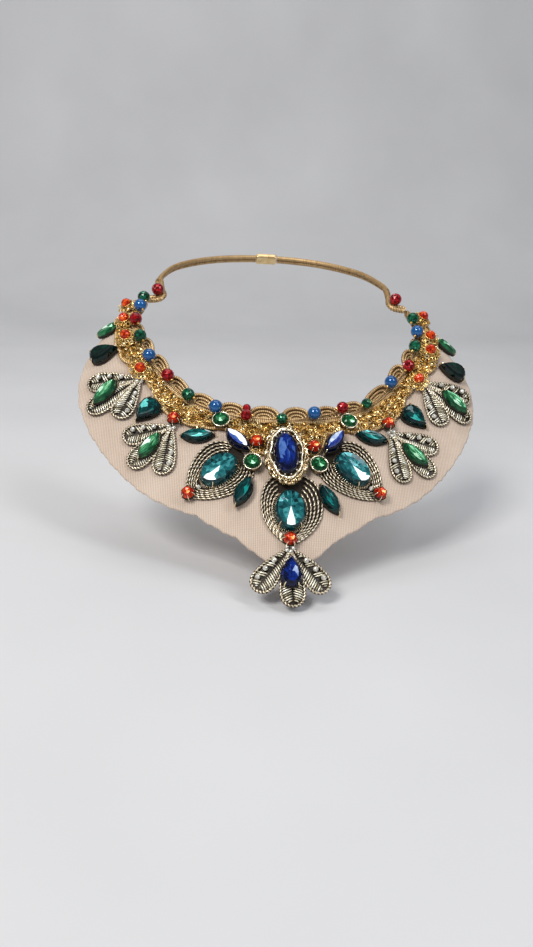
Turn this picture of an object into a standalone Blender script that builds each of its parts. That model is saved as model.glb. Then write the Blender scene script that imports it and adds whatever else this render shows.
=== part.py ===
"""Bib necklace: gold lace, corded medallions, petal fans and cut stones sewn to a shaped net, on two straps.

Metres, +Z up. The necklace keeps the form that it has when worn: its front faces -Y, and the origin is on
the neck's axis, level with the sides of the neck. Pieces are placed by `along`, the length of the neckline
from its front point (+ towards +X), and by `out`, the length from the neckline outwards over the form.
"""

import math

import bmesh
import bpy
import numpy as np
from mathutils import Matrix, Vector

# neck and the form that the bib lies on
NECK_RADIUS = 0.059
FRONT_REACH = 0.0285
FRONT_DROP = 0.0445
BACK_RISE = 0.0145
SLOPE_RUN = 0.064

# bib
BIB_HALF = 0.110
BIB_DEPTH = 0.074
END_RISE = 0.0125
NET_THICKNESS = 0.0010
TRIM_THICKNESS = 0.0015
GAP = 0.0003

# lace on the neck edge and the looped gold field below it
LACE_WIDTH = 0.0033
ARCH_HEIGHT = 0.0045
FIELD_LUMP = 0.0004

# medallions: lengths from the stone's middle
MEDALLION_ROWS = 4
MEDALLION_TIP = 0.0170
MEDALLION_ROOT = 0.0135
MEDALLION_HALF = 0.0130
LOWER_TIP = 0.0145
LOWER_ROOT = 0.0185
LOWER_HALF = 0.0118
CORD_MARGIN = 0.0009

# petal fans
FAN_START = 0.0014
FAN_NOTCH = 0.0085
FAN_SIDE_ANGLE = 14.0

# stones: length, width, height
OVAL = (0.0180, 0.0130, 0.0052)
CENTRE_STONE = (0.0205, 0.0112, 0.0042)
NAVETTE = (0.0150, 0.0070, 0.0036)
SMALL_NAVETTE = (0.0120, 0.0056, 0.0034)
PEAR = (0.0140, 0.0100, 0.0042)
BLUE_PEAR = (0.0132, 0.0088, 0.0040)
BEZEL = (0.0076, 0.0076, 0.0034)
CHATON = (0.0058, 0.0058, 0.0034)
BEZEL_WALL = 0.0005

# frame of the centre stone
FRAME_LENGTH = 0.0300
FRAME_WIDTH = 0.0180
FRAME_HEIGHT = 0.0026
FRAME_LEDGE = 0.0014
FRAME_WOBBLE = 0.0003

# beads, their thread, the straps and the clasp
PEARL = 0.0061
ROUND_BEAD = 0.0060
SMALL_BEAD = 0.0050
DROP_BEAD = 0.0055
THREAD = 0.0009
STRAP_WIDTH = 0.0050
STRAP_THICKNESS = 0.0021
STRAP_LEAN = 40.0
CLASP = (0.0120, 0.0060, 0.0030)

# how finely the lofted pieces are divided
NET_COLUMNS = 45
NET_ROWS = 7
LACE_STEPS = 4
FIELD_STATIONS = 49
MEDALLION_STATIONS = 30
FRAME_STATIONS = 26
STRAP_STATIONS = 24

# heights over the form
TRIM_BASE = NET_THICKNESS + GAP
TRIM_TOP = TRIM_BASE + TRIM_THICKNESS
CORD_SEAT = TRIM_TOP + GAP
FIELD_SEAT = TRIM_TOP + FIELD_LUMP + GAP
LEDGE_HEIGHT = 0.0009
SEATS = {
    "net": TRIM_BASE,
    "cord": CORD_SEAT,
    "field": FIELD_SEAT,
    "frame": FIELD_SEAT + LEDGE_HEIGHT + GAP,
}

# angle from the front (deg), reach (share of FRONT_REACH), height (share of FRONT_DROP below the sides or of
# BACK_RISE above them), slope at the neckline and SLOPE_RUN further out (deg), swing towards the front (deg)
SECTIONS = (
    (0, 1.00, -1.00, 36, 44, 0),
    (30, 0.95, -0.88, 35, 52, 9),
    (60, 0.77, -0.21, 33, 54, 16),
    (90, 0.05, 0.00, 35, 53, 39),
    (120, 0.00, 0.52, 26, 26, 20),
    (150, 0.00, 0.86, 26, 26, 5),
    (180, 0.00, 1.00, 26, 26, 0),
)

# along (share of BIB_HALF), rise of the neck edge above the neckline (share of END_RISE)
NECK_EDGE = (
    (0.00, 0.00), (0.80, 0.00), (0.85, 0.15), (0.875, 0.50), (0.895, 0.90), (0.93, 0.90),
    (0.96, 0.35), (1.00, -0.10),
)

# along (share of BIB_HALF), depth (share of BIB_DEPTH)
NET_EDGE = (
    (0.00, 1.00), (0.06, 0.92), (0.13, 0.81), (0.26, 0.71), (0.45, 0.71), (0.60, 0.70),
    (0.72, 0.68), (0.82, 0.64), (0.90, 0.57), (0.96, 0.45), (1.00, 0.30),
)
FIELD_EDGE = (
    (0.00, 0.290), (0.10, 0.285), (0.13, 0.240), (0.16, 0.145), (0.22, 0.135), (0.34, 0.180),
    (0.42, 0.200), (0.49, 0.205), (0.56, 0.155), (0.63, 0.145), (0.71, 0.180), (0.78, 0.210),
    (0.84, 0.195), (0.89, 0.175), (0.92, 0.095), (0.97, 0.065),
)

# name, cut, along (share of BIB_HALF), out (share of BIB_DEPTH), turn (deg from along towards out), seat
STONES = (
    ("centre_stone", "centre", 0.000, 0.300, 88, "frame"),
    ("oval_left", "oval", -0.210, 0.422, 126, "net"),
    ("oval_right", "oval", 0.217, 0.404, 59, "net"),
    ("oval_lower", "oval", 0.006, 0.645, 92, "net"),
    ("bezel_left_upper", "bezel", -0.238, 0.100, 0, "field"),
    ("bezel_right_upper", "bezel", 0.254, 0.092, 0, "field"),
    ("bezel_left_lower", "bezel", -0.105, 0.354, 0, "cord"),
    ("bezel_right_lower", "bezel", 0.103, 0.361, 0, "cord"),
    ("navette_blue_left", "navette", -0.163, 0.215, 37, "cord"),
    ("navette_blue_right", "navette", 0.174, 0.215, 138, "cord"),
    ("navette_teal_left_upper", "navette", -0.315, 0.231, 155, "net"),
    ("navette_teal_right_upper", "navette", 0.335, 0.226, 38, "net"),
    ("navette_teal_left_lower", "navette", -0.124, 0.543, 109, "cord"),
    ("navette_teal_right_lower", "navette", 0.122, 0.573, 68, "net"),
    ("pear_teal_left", "pear", -0.547, 0.282, 82, "net"),
    ("pear_teal_right", "pear", 0.552, 0.286, 96, "net"),
    ("pear_dark_left", "pear", -0.862, 0.303, -82, "net"),
    ("pear_dark_right", "pear", 0.854, 0.336, -102, "net"),
    ("navette_small_left", "small_navette", -0.950, 0.211, 91, "net"),
    ("navette_small_right", "small_navette", 0.950, 0.250, 91, "net"),
    ("navette_fan_outer_left", "navette", -0.733, 0.434, 71, "cord"),
    ("navette_fan_inner_left", "navette", -0.474, 0.455, 85, "cord"),
    ("navette_fan_inner_right", "navette", 0.473, 0.470, 85, "cord"),
    ("navette_fan_outer_right", "navette", 0.745, 0.445, 102, "cord"),
    ("pear_blue", "blue_pear", 0.003, 0.996, -88, "cord"),
    ("chaton_frame_left", "chaton", -0.097, 0.212, 0, "field"),
    ("chaton_frame_right", "chaton", 0.096, 0.241, 0, "field"),
    ("chaton_fan_left", "chaton", -0.424, 0.211, 0, "field"),
    ("chaton_fan_right", "chaton", 0.420, 0.201, 0, "field"),
    ("chaton_tip_left", "chaton", -0.292, 0.605, 0, "cord"),
    ("chaton_tip_right", "chaton", 0.290, 0.584, 0, "cord"),
    ("chaton_tip_lower", "chaton", 0.003, 0.814, 0, "cord"),
)

# name, stone inside, lengths to the tip and the root, half width
MEDALLIONS = (
    ("medallion_left", "oval_left", MEDALLION_TIP, MEDALLION_ROOT, MEDALLION_HALF),
    ("medallion_right", "oval_right", MEDALLION_TIP, MEDALLION_ROOT, MEDALLION_HALF),
    ("medallion_lower", "oval_lower", LOWER_TIP, LOWER_ROOT, LOWER_HALF),
)

# name, root's along and out (shares), then length (m) and direction (deg) of each petal
FANS = (
    ("fan_outer_left", -0.643, 0.180, ((0.0222, 120), (0.0262, 87), (0.0212, 57))),
    ("fan_inner_left", -0.425, 0.254, ((0.0212, 129), (0.0252, 95), (0.0232, 61))),
    ("fan_inner_right", 0.423, 0.261, ((0.0218, 53), (0.0260, 84), (0.0240, 119))),
    ("fan_outer_right", 0.679, 0.188, ((0.0226, 131), (0.0268, 100), (0.0228, 74))),
    ("fan_lower", 0.002, 0.862, ((0.0215, 129), (0.0233, 88), (0.0218, 51))),
)

# along (share of BIB_HALF), out (share of BIB_DEPTH), size
EDGE_BEADS_LEFT = (
    (-0.893, -0.135, ROUND_BEAD),
    (-0.868, -0.085, PEARL),
    (-0.830, -0.010, ROUND_BEAD),
    (-0.754, 0.022, ROUND_BEAD),
    (-0.660, 0.044, PEARL),
    (-0.535, 0.025, ROUND_BEAD),
    (-0.400, 0.031, ROUND_BEAD),
    (-0.269, 0.033, PEARL),
    (-0.144, 0.048, SMALL_BEAD),
)
EDGE_BEADS_RIGHT = (
    (-0.010, 0.058, SMALL_BEAD),
    (0.115, 0.022, PEARL),
    (0.240, -0.002, DROP_BEAD),
    (0.356, 0.020, SMALL_BEAD),
    (0.526, 0.010, PEARL),
    (0.650, 0.040, ROUND_BEAD),
    (0.743, 0.008, ROUND_BEAD),
    (0.809, -0.025, PEARL),
    (0.850, -0.090, ROUND_BEAD),
)

# name, along (share of BIB_HALF), out (share of BIB_DEPTH), size
ACCENT_BEADS = (
    ("accent_left_1", -0.659, 0.145, SMALL_BEAD),
    ("accent_left_2", -0.813, 0.108, SMALL_BEAD),
    ("accent_left_3", -0.885, 0.060, SMALL_BEAD),
    ("accent_left_4", -0.948, 0.000, SMALL_BEAD),
    ("accent_right_1", 0.654, 0.150, SMALL_BEAD),
    ("accent_right_2", 0.800, 0.119, SMALL_BEAD),
    ("accent_right_3", 0.857, 0.076, SMALL_BEAD),
    ("accent_right_4", 0.925, -0.020, SMALL_BEAD),
)

# angle from the front (deg), distance from the neck's axis (share of NECK_RADIUS), height (share of BACK_RISE)
STRAP_ROUTE = (
    (60, 1.115, 0.00),
    (68, 1.060, 0.14),
    (78, 1.025, 0.30),
    (90, 1.005, 0.45),
    (120, 1.000, 0.72),
    (150, 1.000, 0.93),
    (180, 1.000, 1.00),
)


def clear_scene():
    for item in list(bpy.data.objects):
        bpy.data.objects.remove(item, do_unlink=True)


clear_scene()
PARTS = bpy.data.collections.new("bib_necklace")
CUTTERS = bpy.data.collections.new("cutters")
bpy.context.scene.collection.children.link(PARTS)
bpy.context.scene.collection.children.link(CUTTERS)


# the form, as a surface over the angle round the neck and the length out from the neckline

def column(index, angle):
    """One column of SECTIONS at an angle, by a Catmull-Rom curve that mirrors at the front and the back."""
    values = np.array([row[index] for row in SECTIONS], float)
    step = math.radians(SECTIONS[1][0])
    last = len(values) - 1
    place = np.minimum(np.abs(angle) / step, last)
    low = np.minimum(place.astype(int), last - 1)
    t = place - low

    def value(i):
        i = np.abs(i)
        return values[np.where(i > last, 2 * last - i, i)]

    a, b, c, d = value(low - 1), value(low), value(low + 1), value(low + 2)
    return 0.5 * (2 * b + (c - a) * t + (2 * a - 5 * b + 4 * c - d) * t**2 + (3 * b - a - 3 * c + d) * t**3)


def form(angle, out):
    """Points of the form's surface."""
    reach = NECK_RADIUS + FRONT_REACH * column(1, angle)
    level = column(2, angle)
    height = np.where(level < 0, level * FRONT_DROP, level * BACK_RISE)
    slope = np.radians(column(3, angle))
    bend = np.radians(column(4, angle) - column(3, angle)) / SLOPE_RUN + 1e-6
    heading = angle - np.sign(angle) * np.radians(column(5, angle))
    forward = (np.sin(slope + bend * out) - np.sin(slope)) / bend
    down = (np.cos(slope) - np.cos(slope + bend * out)) / bend
    x = reach * np.sin(angle) + forward * np.sin(heading)
    y = -reach * np.cos(angle) - forward * np.cos(heading)
    return np.stack([x, y, height - down], axis=-1)


def slopes(angle, out):
    """Directions in which the form runs, per radian round the neck and per metre outwards."""
    turn, step = 1e-4, 1e-5
    across = (form(angle + turn, out) - form(angle - turn, out)) / (2 * turn)
    outward = (form(angle, out + step) - form(angle, out - step)) / (2 * step)
    return across, outward


def unit(vectors):
    return vectors / np.linalg.norm(vectors, axis=-1, keepdims=True)


def raised(angle, out, height):
    """Points at a height over the form, along its normal."""
    across, outward = slopes(angle, out)
    return form(angle, out) + unit(np.cross(outward, across)) * np.asarray(height)[..., None]


LOOP_ANGLES = np.linspace(0.0, math.pi, 721)
LOOP_POINTS = form(LOOP_ANGLES, np.zeros_like(LOOP_ANGLES))
LOOP_LENGTHS = np.concatenate([[0.0], np.cumsum(np.linalg.norm(np.diff(LOOP_POINTS, axis=0), axis=1))])


def angle_at(along):
    return np.sign(along) * np.interp(np.abs(along), LOOP_LENGTHS, LOOP_ANGLES)


def over(along, out, height):
    """Points given by along, out and the height over the form."""
    along, out, height = np.broadcast_arrays(*(np.asarray(v, float) for v in (along, out, height)))
    return raised(angle_at(along), out, height)


def table(rows, along, across_size, down_size):
    """A table of shares, read at a length along the neckline."""
    shares = np.array(rows)
    return np.interp(np.abs(along), shares[:, 0] * across_size, shares[:, 1] * down_size)


def neck_edge(along):
    return -table(NECK_EDGE, along, BIB_HALF, END_RISE)


class Patch:
    """A flat frame that touches the form at one point; shapes drawn in it are dropped onto the form."""

    def __init__(self, along, out, turn=0.0):
        self.angle = float(angle_at(along))
        self.out = float(out)
        across, outward = slopes(np.array([self.angle]), np.array([self.out]))
        self.origin = form(np.array([self.angle]), np.array([self.out]))[0]
        self.normal = unit(np.cross(outward, across))[0]
        level = unit(across)[0]
        downhill = np.cross(level, self.normal)
        c, s = math.cos(math.radians(turn)), math.sin(math.radians(turn))
        self.first = level * c + downhill * s
        self.second = np.cross(self.first, self.normal)

    def matrix(self, height):
        """Matrix of a rigid piece that stands at a height over the form."""
        base = self.origin + self.normal * height
        axes = Matrix((self.first, -self.second, self.normal)).transposed()
        return Matrix.Translation(Vector(base)) @ axes.to_4x4()

    def drop(self, x, y, height):
        """Points of the form below (x, y) in the frame, raised to a height."""
        x, y, height = np.broadcast_arrays(*(np.asarray(v, float) for v in (x, y, height)))
        target = self.origin + x[..., None] * self.first + y[..., None] * self.second
        angle = np.full(x.shape, self.angle)
        out = np.full(x.shape, self.out)
        for _ in range(8):
            across, outward = slopes(angle, out)
            miss = target - form(angle, out)
            a, b = across @ self.first, outward @ self.first
            c, d = across @ self.second, outward @ self.second
            e, f = miss @ self.first, miss @ self.second
            scale = a * d - b * c
            angle = angle + (e * d - b * f) / scale
            out = out + (a * f - e * c) / scale
        return raised(angle, out, height)


# mesh helpers

def material(name, colour, metallic, roughness):
    made = bpy.data.materials.new(name)
    made.use_nodes = True
    shader = made.node_tree.nodes["Principled BSDF"]
    shader.inputs["Base Color"].default_value = (*colour, 1.0)
    shader.inputs["Metallic"].default_value = metallic
    shader.inputs["Roughness"].default_value = roughness
    return made


LOOKS = {
    "net": ((0.72, 0.58, 0.48), 0.0, 0.8),
    "lace": ((0.72, 0.52, 0.22), 0.8, 0.4),
    "gold": ((0.80, 0.58, 0.22), 1.0, 0.3),
    "antique": ((0.55, 0.47, 0.32), 0.9, 0.45),
    "silver": ((0.50, 0.48, 0.40), 0.9, 0.4),
    "teal": ((0.02, 0.35, 0.36), 0.0, 0.08),
    "deep_teal": ((0.00, 0.14, 0.13), 0.0, 0.08),
    "black_green": ((0.00, 0.03, 0.02), 0.0, 0.08),
    "green": ((0.05, 0.38, 0.12), 0.0, 0.08),
    "blue": ((0.01, 0.04, 0.45), 0.0, 0.08),
    "orange": ((0.85, 0.10, 0.01), 0.0, 0.08),
    "mixed_beads": ((0.35, 0.03, 0.05), 0.0, 0.15),
}


def put(name, mesh, look, faceted=False):
    mesh.name = name
    if not faceted:
        mesh.shade_smooth()
        mesh.set_sharp_from_angle(angle=math.radians(40))
    mesh.materials.clear()
    mesh.materials.append(material(name, *LOOKS[look]))
    item = bpy.data.objects.new(name, mesh)
    PARTS.objects.link(item)
    return item


def to_mesh(bm):
    bmesh.ops.recalc_face_normals(bm, faces=bm.faces)
    mesh = bpy.data.meshes.new("solid")
    bm.to_mesh(mesh)
    bm.free()
    return mesh


def loft(sections, ring=False):
    """A closed solid through closed sections of equal length; a ring joins its last section to its first."""
    bm = bmesh.new()
    rows = [[bm.verts.new(point) for point in section] for section in sections]
    count = len(rows[0])
    pairs = list(zip(rows, rows[1:]))
    if ring:
        pairs.append((rows[-1], rows[0]))
    for first, second in pairs:
        for i in range(count):
            j = (i + 1) % count
            bm.faces.new((first[i], first[j], second[j], second[i]))
    if not ring:
        bm.faces.new(rows[0])
        bm.faces.new(rows[-1])
    return to_mesh(bm)


# outlines of cuts, as points of a shape with half length 1 and half width 1

def ellipse(t):
    return np.cos(t), np.sin(t)


def teardrop(t, pinch=1.0):
    """Round at -x and pointed at +x, more so with a larger pinch; its widest half width is 1."""
    fine = np.linspace(0.0, math.pi, 181)
    widest = np.max(np.sin(fine) * np.sin(fine / 2) ** pinch)
    return np.cos(t), np.sin(t) * np.abs(np.sin(t / 2)) ** pinch / widest


def navette(t, slim=0.47):
    """Two equal arcs that meet in points."""
    radius = (1 + slim**2) / (2 * slim)
    rise = np.sqrt(radius**2 - np.cos(t) ** 2) - (radius - slim)
    return np.cos(t), np.sign(np.round(np.sin(t), 6)) * rise / slim


# cut: outline, size, number of sides, look
CUTS = {
    "centre": (ellipse, CENTRE_STONE, 14),
    "oval": (ellipse, OVAL, 14),
    "navette": (navette, NAVETTE, 10),
    "small_navette": (navette, SMALL_NAVETTE, 10),
    "pear": (teardrop, PEAR, 12),
    "blue_pear": (teardrop, BLUE_PEAR, 12),
    "bezel": (ellipse, BEZEL, 12),
    "chaton": (ellipse, CHATON, 8),
}

# inset from the outline (share of the half width), height (share of the stone's height)
CLAW_PROFILE = ((0.16, 0.00), (0.00, 0.36), (0.02, 0.48), (0.42, 1.00))


def stone_mesh(cut):
    """A cut stone in its cup: base, girdle, crown and table."""
    outline, (length, width, height), sides = CUTS[cut]
    t = np.linspace(0.0, 2 * math.pi, sides, endpoint=False)
    x, y = outline(t)
    if cut == "bezel":
        lip = BEZEL_WALL / (width / 2)
        profile = ((0.0, 0.0), (0.0, 0.62), (lip, 0.62), (lip * 1.1, 0.45), (0.50, 1.00))
    else:
        profile = CLAW_PROFILE
    inset = width / 2
    sections = []
    for share, level in profile:
        half_length = length / 2 - share * inset
        half_width = width / 2 - share * inset
        sections.append([(px * half_length, py * half_width, level * height) for px, py in zip(x, y)])
    return loft(sections)


STONE_LOOKS = (
    ("oval", "teal"), ("centre", "blue"), ("pear_blue", "blue"), ("navette_blue", "blue"),
    ("pear_dark", "black_green"), ("navette_fan", "green"), ("navette_small", "green"), ("bezel", "green"),
    ("chaton", "orange"), ("navette_teal", "deep_teal"), ("pear_teal", "deep_teal"),
)


def stone_look(name):
    return next(look for start, look in STONE_LOOKS if name.startswith(start))


def build_stones():
    for name, cut, along, out, turn, seat in STONES:
        patch = Patch(along * BIB_HALF, out * BIB_DEPTH, turn)
        mesh = stone_mesh(cut)
        mesh.transform(patch.matrix(SEATS[seat]))
        put(name, mesh, stone_look(name), faceted=True)


# the net and what is sewn to it

def build_net():
    """The net, an open surface thickened outwards."""
    columns = np.linspace(-BIB_HALF, BIB_HALF, NET_COLUMNS)
    rows = np.linspace(0.0, 1.0, NET_ROWS)
    bm = bmesh.new()
    grid = []
    for along in columns:
        inner = neck_edge(along) + THREAD
        outer = table(NET_EDGE, along, BIB_HALF, BIB_DEPTH)
        points = over(along, inner + (outer - inner) * rows, 0.0)
        grid.append([bm.verts.new(point) for point in points])
    for left, right in zip(grid, grid[1:]):
        for i in range(len(rows) - 1):
            bm.faces.new((left[i], left[i + 1], right[i + 1], right[i]))
    bm.normal_update()
    mesh = bpy.data.meshes.new("net")
    bm.to_mesh(mesh)
    bm.free()
    net = put("net", mesh, "net")
    wall = net.modifiers.new("wall", "SOLIDIFY")
    wall.thickness = NET_THICKNESS
    wall.offset = 1.0


LACE_END = 0.930 * BIB_HALF
FIELD_END = 0.955 * BIB_HALF


def edge_bead_alongs():
    shares = [row[0] for row in EDGE_BEADS_LEFT + EDGE_BEADS_RIGHT]
    return np.array([-LACE_END, *(share * BIB_HALF for share in shares), LACE_END])


def with_bends(stations, end):
    """Stations along the bib, with those where the neck edge bends added."""
    bends = np.array([row[0] for row in NECK_EDGE]) * BIB_HALF
    bends = bends[(bends > 0) & (bends < end)]
    merged = np.sort(np.concatenate([stations, bends, -bends]))
    return merged[np.append(True, np.diff(merged) > GAP)]


def arch(along):
    """Height of the lace's scallops: one arch between each two beads, and none where the straps leave."""
    dips = edge_bead_alongs()
    place = np.interp(along, dips, np.arange(len(dips)))
    i = min(int(place), len(dips) - 2)
    if i in (0, len(dips) - 2):
        return 0.0
    room = min(1.0, (dips[i + 1] - dips[i]) / (3 * ARCH_HEIGHT))
    return ARCH_HEIGHT * room * abs(math.sin(math.pi * place)) ** 0.7


def build_lace():
    """Scalloped lace, ribbed by the cords that run round its arches."""
    dips = edge_bead_alongs()
    steps = np.arange(LACE_STEPS) / LACE_STEPS
    stations = [a + (b - a) * step for a, b in zip(dips, dips[1:]) for step in steps]
    stations = with_bends([*stations, LACE_END], LACE_END)
    across = np.array([0.0, 0.14, 0.34, 0.52, 0.76, 1.0, 0.5])
    rib = np.array([0.45, 1.0, 0.6, 1.0, 0.6, 0.9, 0.0]) * TRIM_THICKNESS
    rib[-2:] = 0.0
    sections = []
    for along in stations:
        inner = neck_edge(along) - arch(along)
        outer = neck_edge(along) + LACE_WIDTH
        out = inner + (outer - inner) * across
        rim = np.concatenate([out[:5], [outer], [outer], [out[6]], [inner]])
        height = np.concatenate([rib[:5], [0.7 * TRIM_THICKNESS, 0.0, 0.0, 0.0]])
        sections.append(over(along, rim, TRIM_BASE + height))
    put("gold_lace", loft(sections), "lace")


def build_field():
    """Looped gold field between the lace and the stones, with a lumpy top."""
    sections = []
    top = np.array([0.0, 0.10, 0.36, 0.64, 0.90, 1.0])
    for k, along in enumerate(with_bends(np.linspace(-FIELD_END, FIELD_END, FIELD_STATIONS), FIELD_END)):
        inner = neck_edge(along) + LACE_WIDTH + GAP
        outer = max(table(FIELD_EDGE, along, BIB_HALF, BIB_DEPTH), inner + LACE_WIDTH)
        lump = FIELD_LUMP * np.array([-2.0, (-1) ** k, -((-1) ** k), (-1) ** k, -((-1) ** k), -2.0])
        out = np.concatenate([inner + (outer - inner) * top, [outer, (inner + outer) / 2, inner]])
        height = np.concatenate([TRIM_THICKNESS + lump, [0.0, 0.0, 0.0]])
        sections.append(over(along, out, TRIM_BASE + height))
    put("gold_field", loft(sections), "gold")


def stone_row(name):
    return next(row for row in STONES if row[0] == name)


def build_medallion(name, stone, tip, root, half):
    """Cord rows that grow from the stone's oval to a teardrop; one section runs across all the rows."""
    _, _, along, out, turn, _ = stone_row(stone)
    patch = Patch(along * BIB_HALF, out * BIB_DEPTH, turn)
    length, width, _ = OVAL
    inner_half = width / 2 + CORD_MARGIN
    inner_long = length / 2 + CORD_MARGIN
    sections = []
    ribs = 2 * MEDALLION_ROWS + 1
    for t in np.linspace(0.0, 2 * math.pi, MEDALLION_STATIONS, endpoint=False):
        ix, iy = teardrop(t, 0.45)
        ox, oy = teardrop(t, 1.0)
        start = np.array([ix * (inner_long * 1.26 if ix > 0 else inner_long), iy * inner_half])
        end = np.array([ox * (tip if ox > 0 else root), oy * half])
        places = [start + (end - start) * k / (ribs - 1) for k in range(ribs)]
        heights = [TRIM_THICKNESS * (0.55 if k % 2 == 0 else 1.0) for k in range(ribs)]
        places += [end, (start + end) / 2, start]
        heights += [0.0, 0.0, 0.0]
        x, y = np.array(places).T
        sections.append(patch.drop(x, y, TRIM_BASE + np.array(heights)))
    put(name, loft(sections, ring=True), "antique")


def petal_reach(t, length):
    """Outline of a petal over its own angle, from one notch (-1) to the other (1)."""
    return FAN_NOTCH + (length - FAN_NOTCH) * max(0.0, 1 - abs(t) ** 2.6) ** 0.42


def build_fan(name, along, out, petals):
    """Three petals in one piece, each with a raised rim, drawn in polar coordinates about their root."""
    patch = Patch(along * BIB_HALF, out * BIB_DEPTH)
    petals = sorted(petals, key=lambda petal: petal[1])
    middles = [(a[1] + b[1]) / 2 for a, b in zip(petals, petals[1:])]
    lows = [petals[0][1] - FAN_SIDE_ANGLE] + middles
    highs = middles + [petals[-1][1] + FAN_SIDE_ANGLE]
    sections = []
    for (length, turn), low, high in zip(petals, lows, highs):
        for t in (-0.98, -0.8, -0.45, 0.0, 0.45, 0.8, 0.98):
            angle = math.radians(turn + (t * (turn - low) if t < 0 else t * (high - turn)))
            reach = petal_reach(t, length)
            share = np.array([0.0, 0.35, 0.70, 0.92, 1.0, 1.0, 0.66, 0.33, 0.0])
            rim = 1.0 if abs(t) > 0.6 else 0.65
            height = TRIM_THICKNESS * np.array([0.8, rim, rim, 1.0, 0.55, 0.0, 0.0, 0.0, 0.0])
            radius = FAN_START + (reach - FAN_START) * share
            points = patch.drop(radius * math.cos(angle), radius * math.sin(angle), TRIM_BASE + height)
            sections.append(points)
    put(name, loft(sections), "silver")


def build_frame():
    """Crinkled double-rimmed frame with a ledge that carries the centre stone."""
    _, _, along, out, turn, _ = stone_row("centre_stone")
    patch = Patch(along * BIB_HALF, out * BIB_DEPTH, turn)
    length, width, _ = CENTRE_STONE
    well = GAP + 0.0002
    # share from the well's wall (0) to the outer edge (1), height (share of FRAME_HEIGHT)
    rims = ((1.00, 0.00), (1.00, 0.45), (0.78, 0.92), (0.50, 0.55), (0.24, 1.00), (0.00, 0.80))
    sections = []
    for t in np.linspace(0.0, 2 * math.pi, FRAME_STATIONS, endpoint=False):
        c, s = math.cos(t), math.sin(t)
        wobble = FRAME_WOBBLE * (math.sin(5 * t + 0.8) + 0.6 * math.sin(9 * t))
        inner = np.array([c * (length / 2 + well), s * (width / 2 + well)])
        outer = np.array([c * (FRAME_LENGTH / 2 + wobble), s * (FRAME_WIDTH / 2 + wobble)])
        ledge = np.array([c * (length / 2 - FRAME_LEDGE), s * (width / 2 - FRAME_LEDGE)])
        section = [(*(inner + (outer - inner) * share), level * FRAME_HEIGHT) for share, level in rims]
        section += [(*inner, LEDGE_HEIGHT), (*ledge, LEDGE_HEIGHT), (*ledge, 0.0)]
        sections.append(section)
    mesh = loft(sections, ring=True)
    mesh.transform(patch.matrix(FIELD_SEAT))
    put("centre_frame", mesh, "gold")


# beads, straps and clasp

def add_ball(bm, point, diameter):
    place = Matrix.Translation(Vector(point))
    bmesh.ops.create_uvsphere(bm, u_segments=10, v_segments=6, radius=diameter / 2, matrix=place)


def bead_place(along, out, size):
    return over(along * BIB_HALF, out * BIB_DEPTH, FIELD_SEAT + size / 2)


def thread_mesh(points):
    """A round thread through points, as a welded mesh."""
    curve = bpy.data.curves.new("thread", "CURVE")
    curve.dimensions = "3D"
    curve.bevel_depth = THREAD / 2
    curve.bevel_resolution = 1
    curve.use_fill_caps = True
    line = curve.splines.new("POLY")
    line.points.add(len(points) - 1)
    for spot, point in zip(line.points, points):
        spot.co = (*point, 1.0)
    guide = bpy.data.objects.new("thread_guide", curve)
    CUTTERS.objects.link(guide)
    bpy.context.view_layer.update()
    ready = guide.evaluated_get(bpy.context.evaluated_depsgraph_get())
    mesh = bpy.data.meshes.new_from_object(ready)
    bpy.data.objects.remove(guide)
    bm = bmesh.new()
    bm.from_mesh(mesh)
    bmesh.ops.remove_doubles(bm, verts=bm.verts, dist=1e-6)
    return to_mesh(bm)


def build_edge_beads(name, rows):
    """Beads of the neck edge, strung on a thread that is sewn down along the lace."""
    ends = [rows[0][0] * BIB_HALF - THREAD, rows[-1][0] * BIB_HALF + THREAD]
    alongs = np.array([row[0] * BIB_HALF for row in rows])
    outs = np.array([row[1] * BIB_DEPTH for row in rows])
    stations = np.unique(np.concatenate([alongs, (alongs[1:] + alongs[:-1]) / 2, ends]))
    points = over(stations, np.interp(stations, alongs, outs), FIELD_SEAT + THREAD / 2)
    thread = put(name, thread_mesh(points), "mixed_beads")
    bm = bmesh.new()
    for along, out, size in rows:
        add_ball(bm, bead_place(along, out, size), size)
    beads = bpy.data.objects.new(name + "_balls", to_mesh(bm))
    beads.hide_render = True
    beads.display_type = "WIRE"
    CUTTERS.objects.link(beads)
    join = thread.modifiers.new("beads", "BOOLEAN")
    join.operation = "UNION"
    join.object = beads
    join.solver = "EXACT"
    join.use_self = True


def build_bead(name, point, size, look):
    bm = bmesh.new()
    add_ball(bm, point, size)
    put(name, to_mesh(bm), look, faceted=True)


STRAP_ROOT = 0.9125 * BIB_HALF
STRAP_SECTION = (
    (-0.50, 0.00), (-0.25, 0.50), (0.00, 0.20), (0.25, 0.50), (0.50, 0.00),
    (0.25, -0.50), (0.00, -0.20), (-0.25, -0.50),
)


def smooth(knots, count):
    """Evenly spaced points of a Catmull-Rom curve through knots; the first and the last only steer it."""
    t = np.linspace(0.0, 1.0, 40, endpoint=False)[:, None]
    pieces = []
    for a, b, c, d in zip(knots, knots[1:], knots[2:], knots[3:]):
        bend = (2 * a - 5 * b + 4 * c - d) * t**2 + (3 * b - a - 3 * c + d) * t**3
        pieces.append(0.5 * (2 * b + (c - a) * t + bend))
    points = np.vstack([*pieces, knots[-2]])
    lengths = np.concatenate([[0.0], np.cumsum(np.linalg.norm(np.diff(points, axis=0), axis=1))])
    stop = lengths[-1] - CLASP[0] / 2 - GAP
    places = np.linspace(0.0, stop, count)
    return np.stack([np.interp(places, lengths, points[:, axis]) for axis in range(3)], axis=-1)


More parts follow.
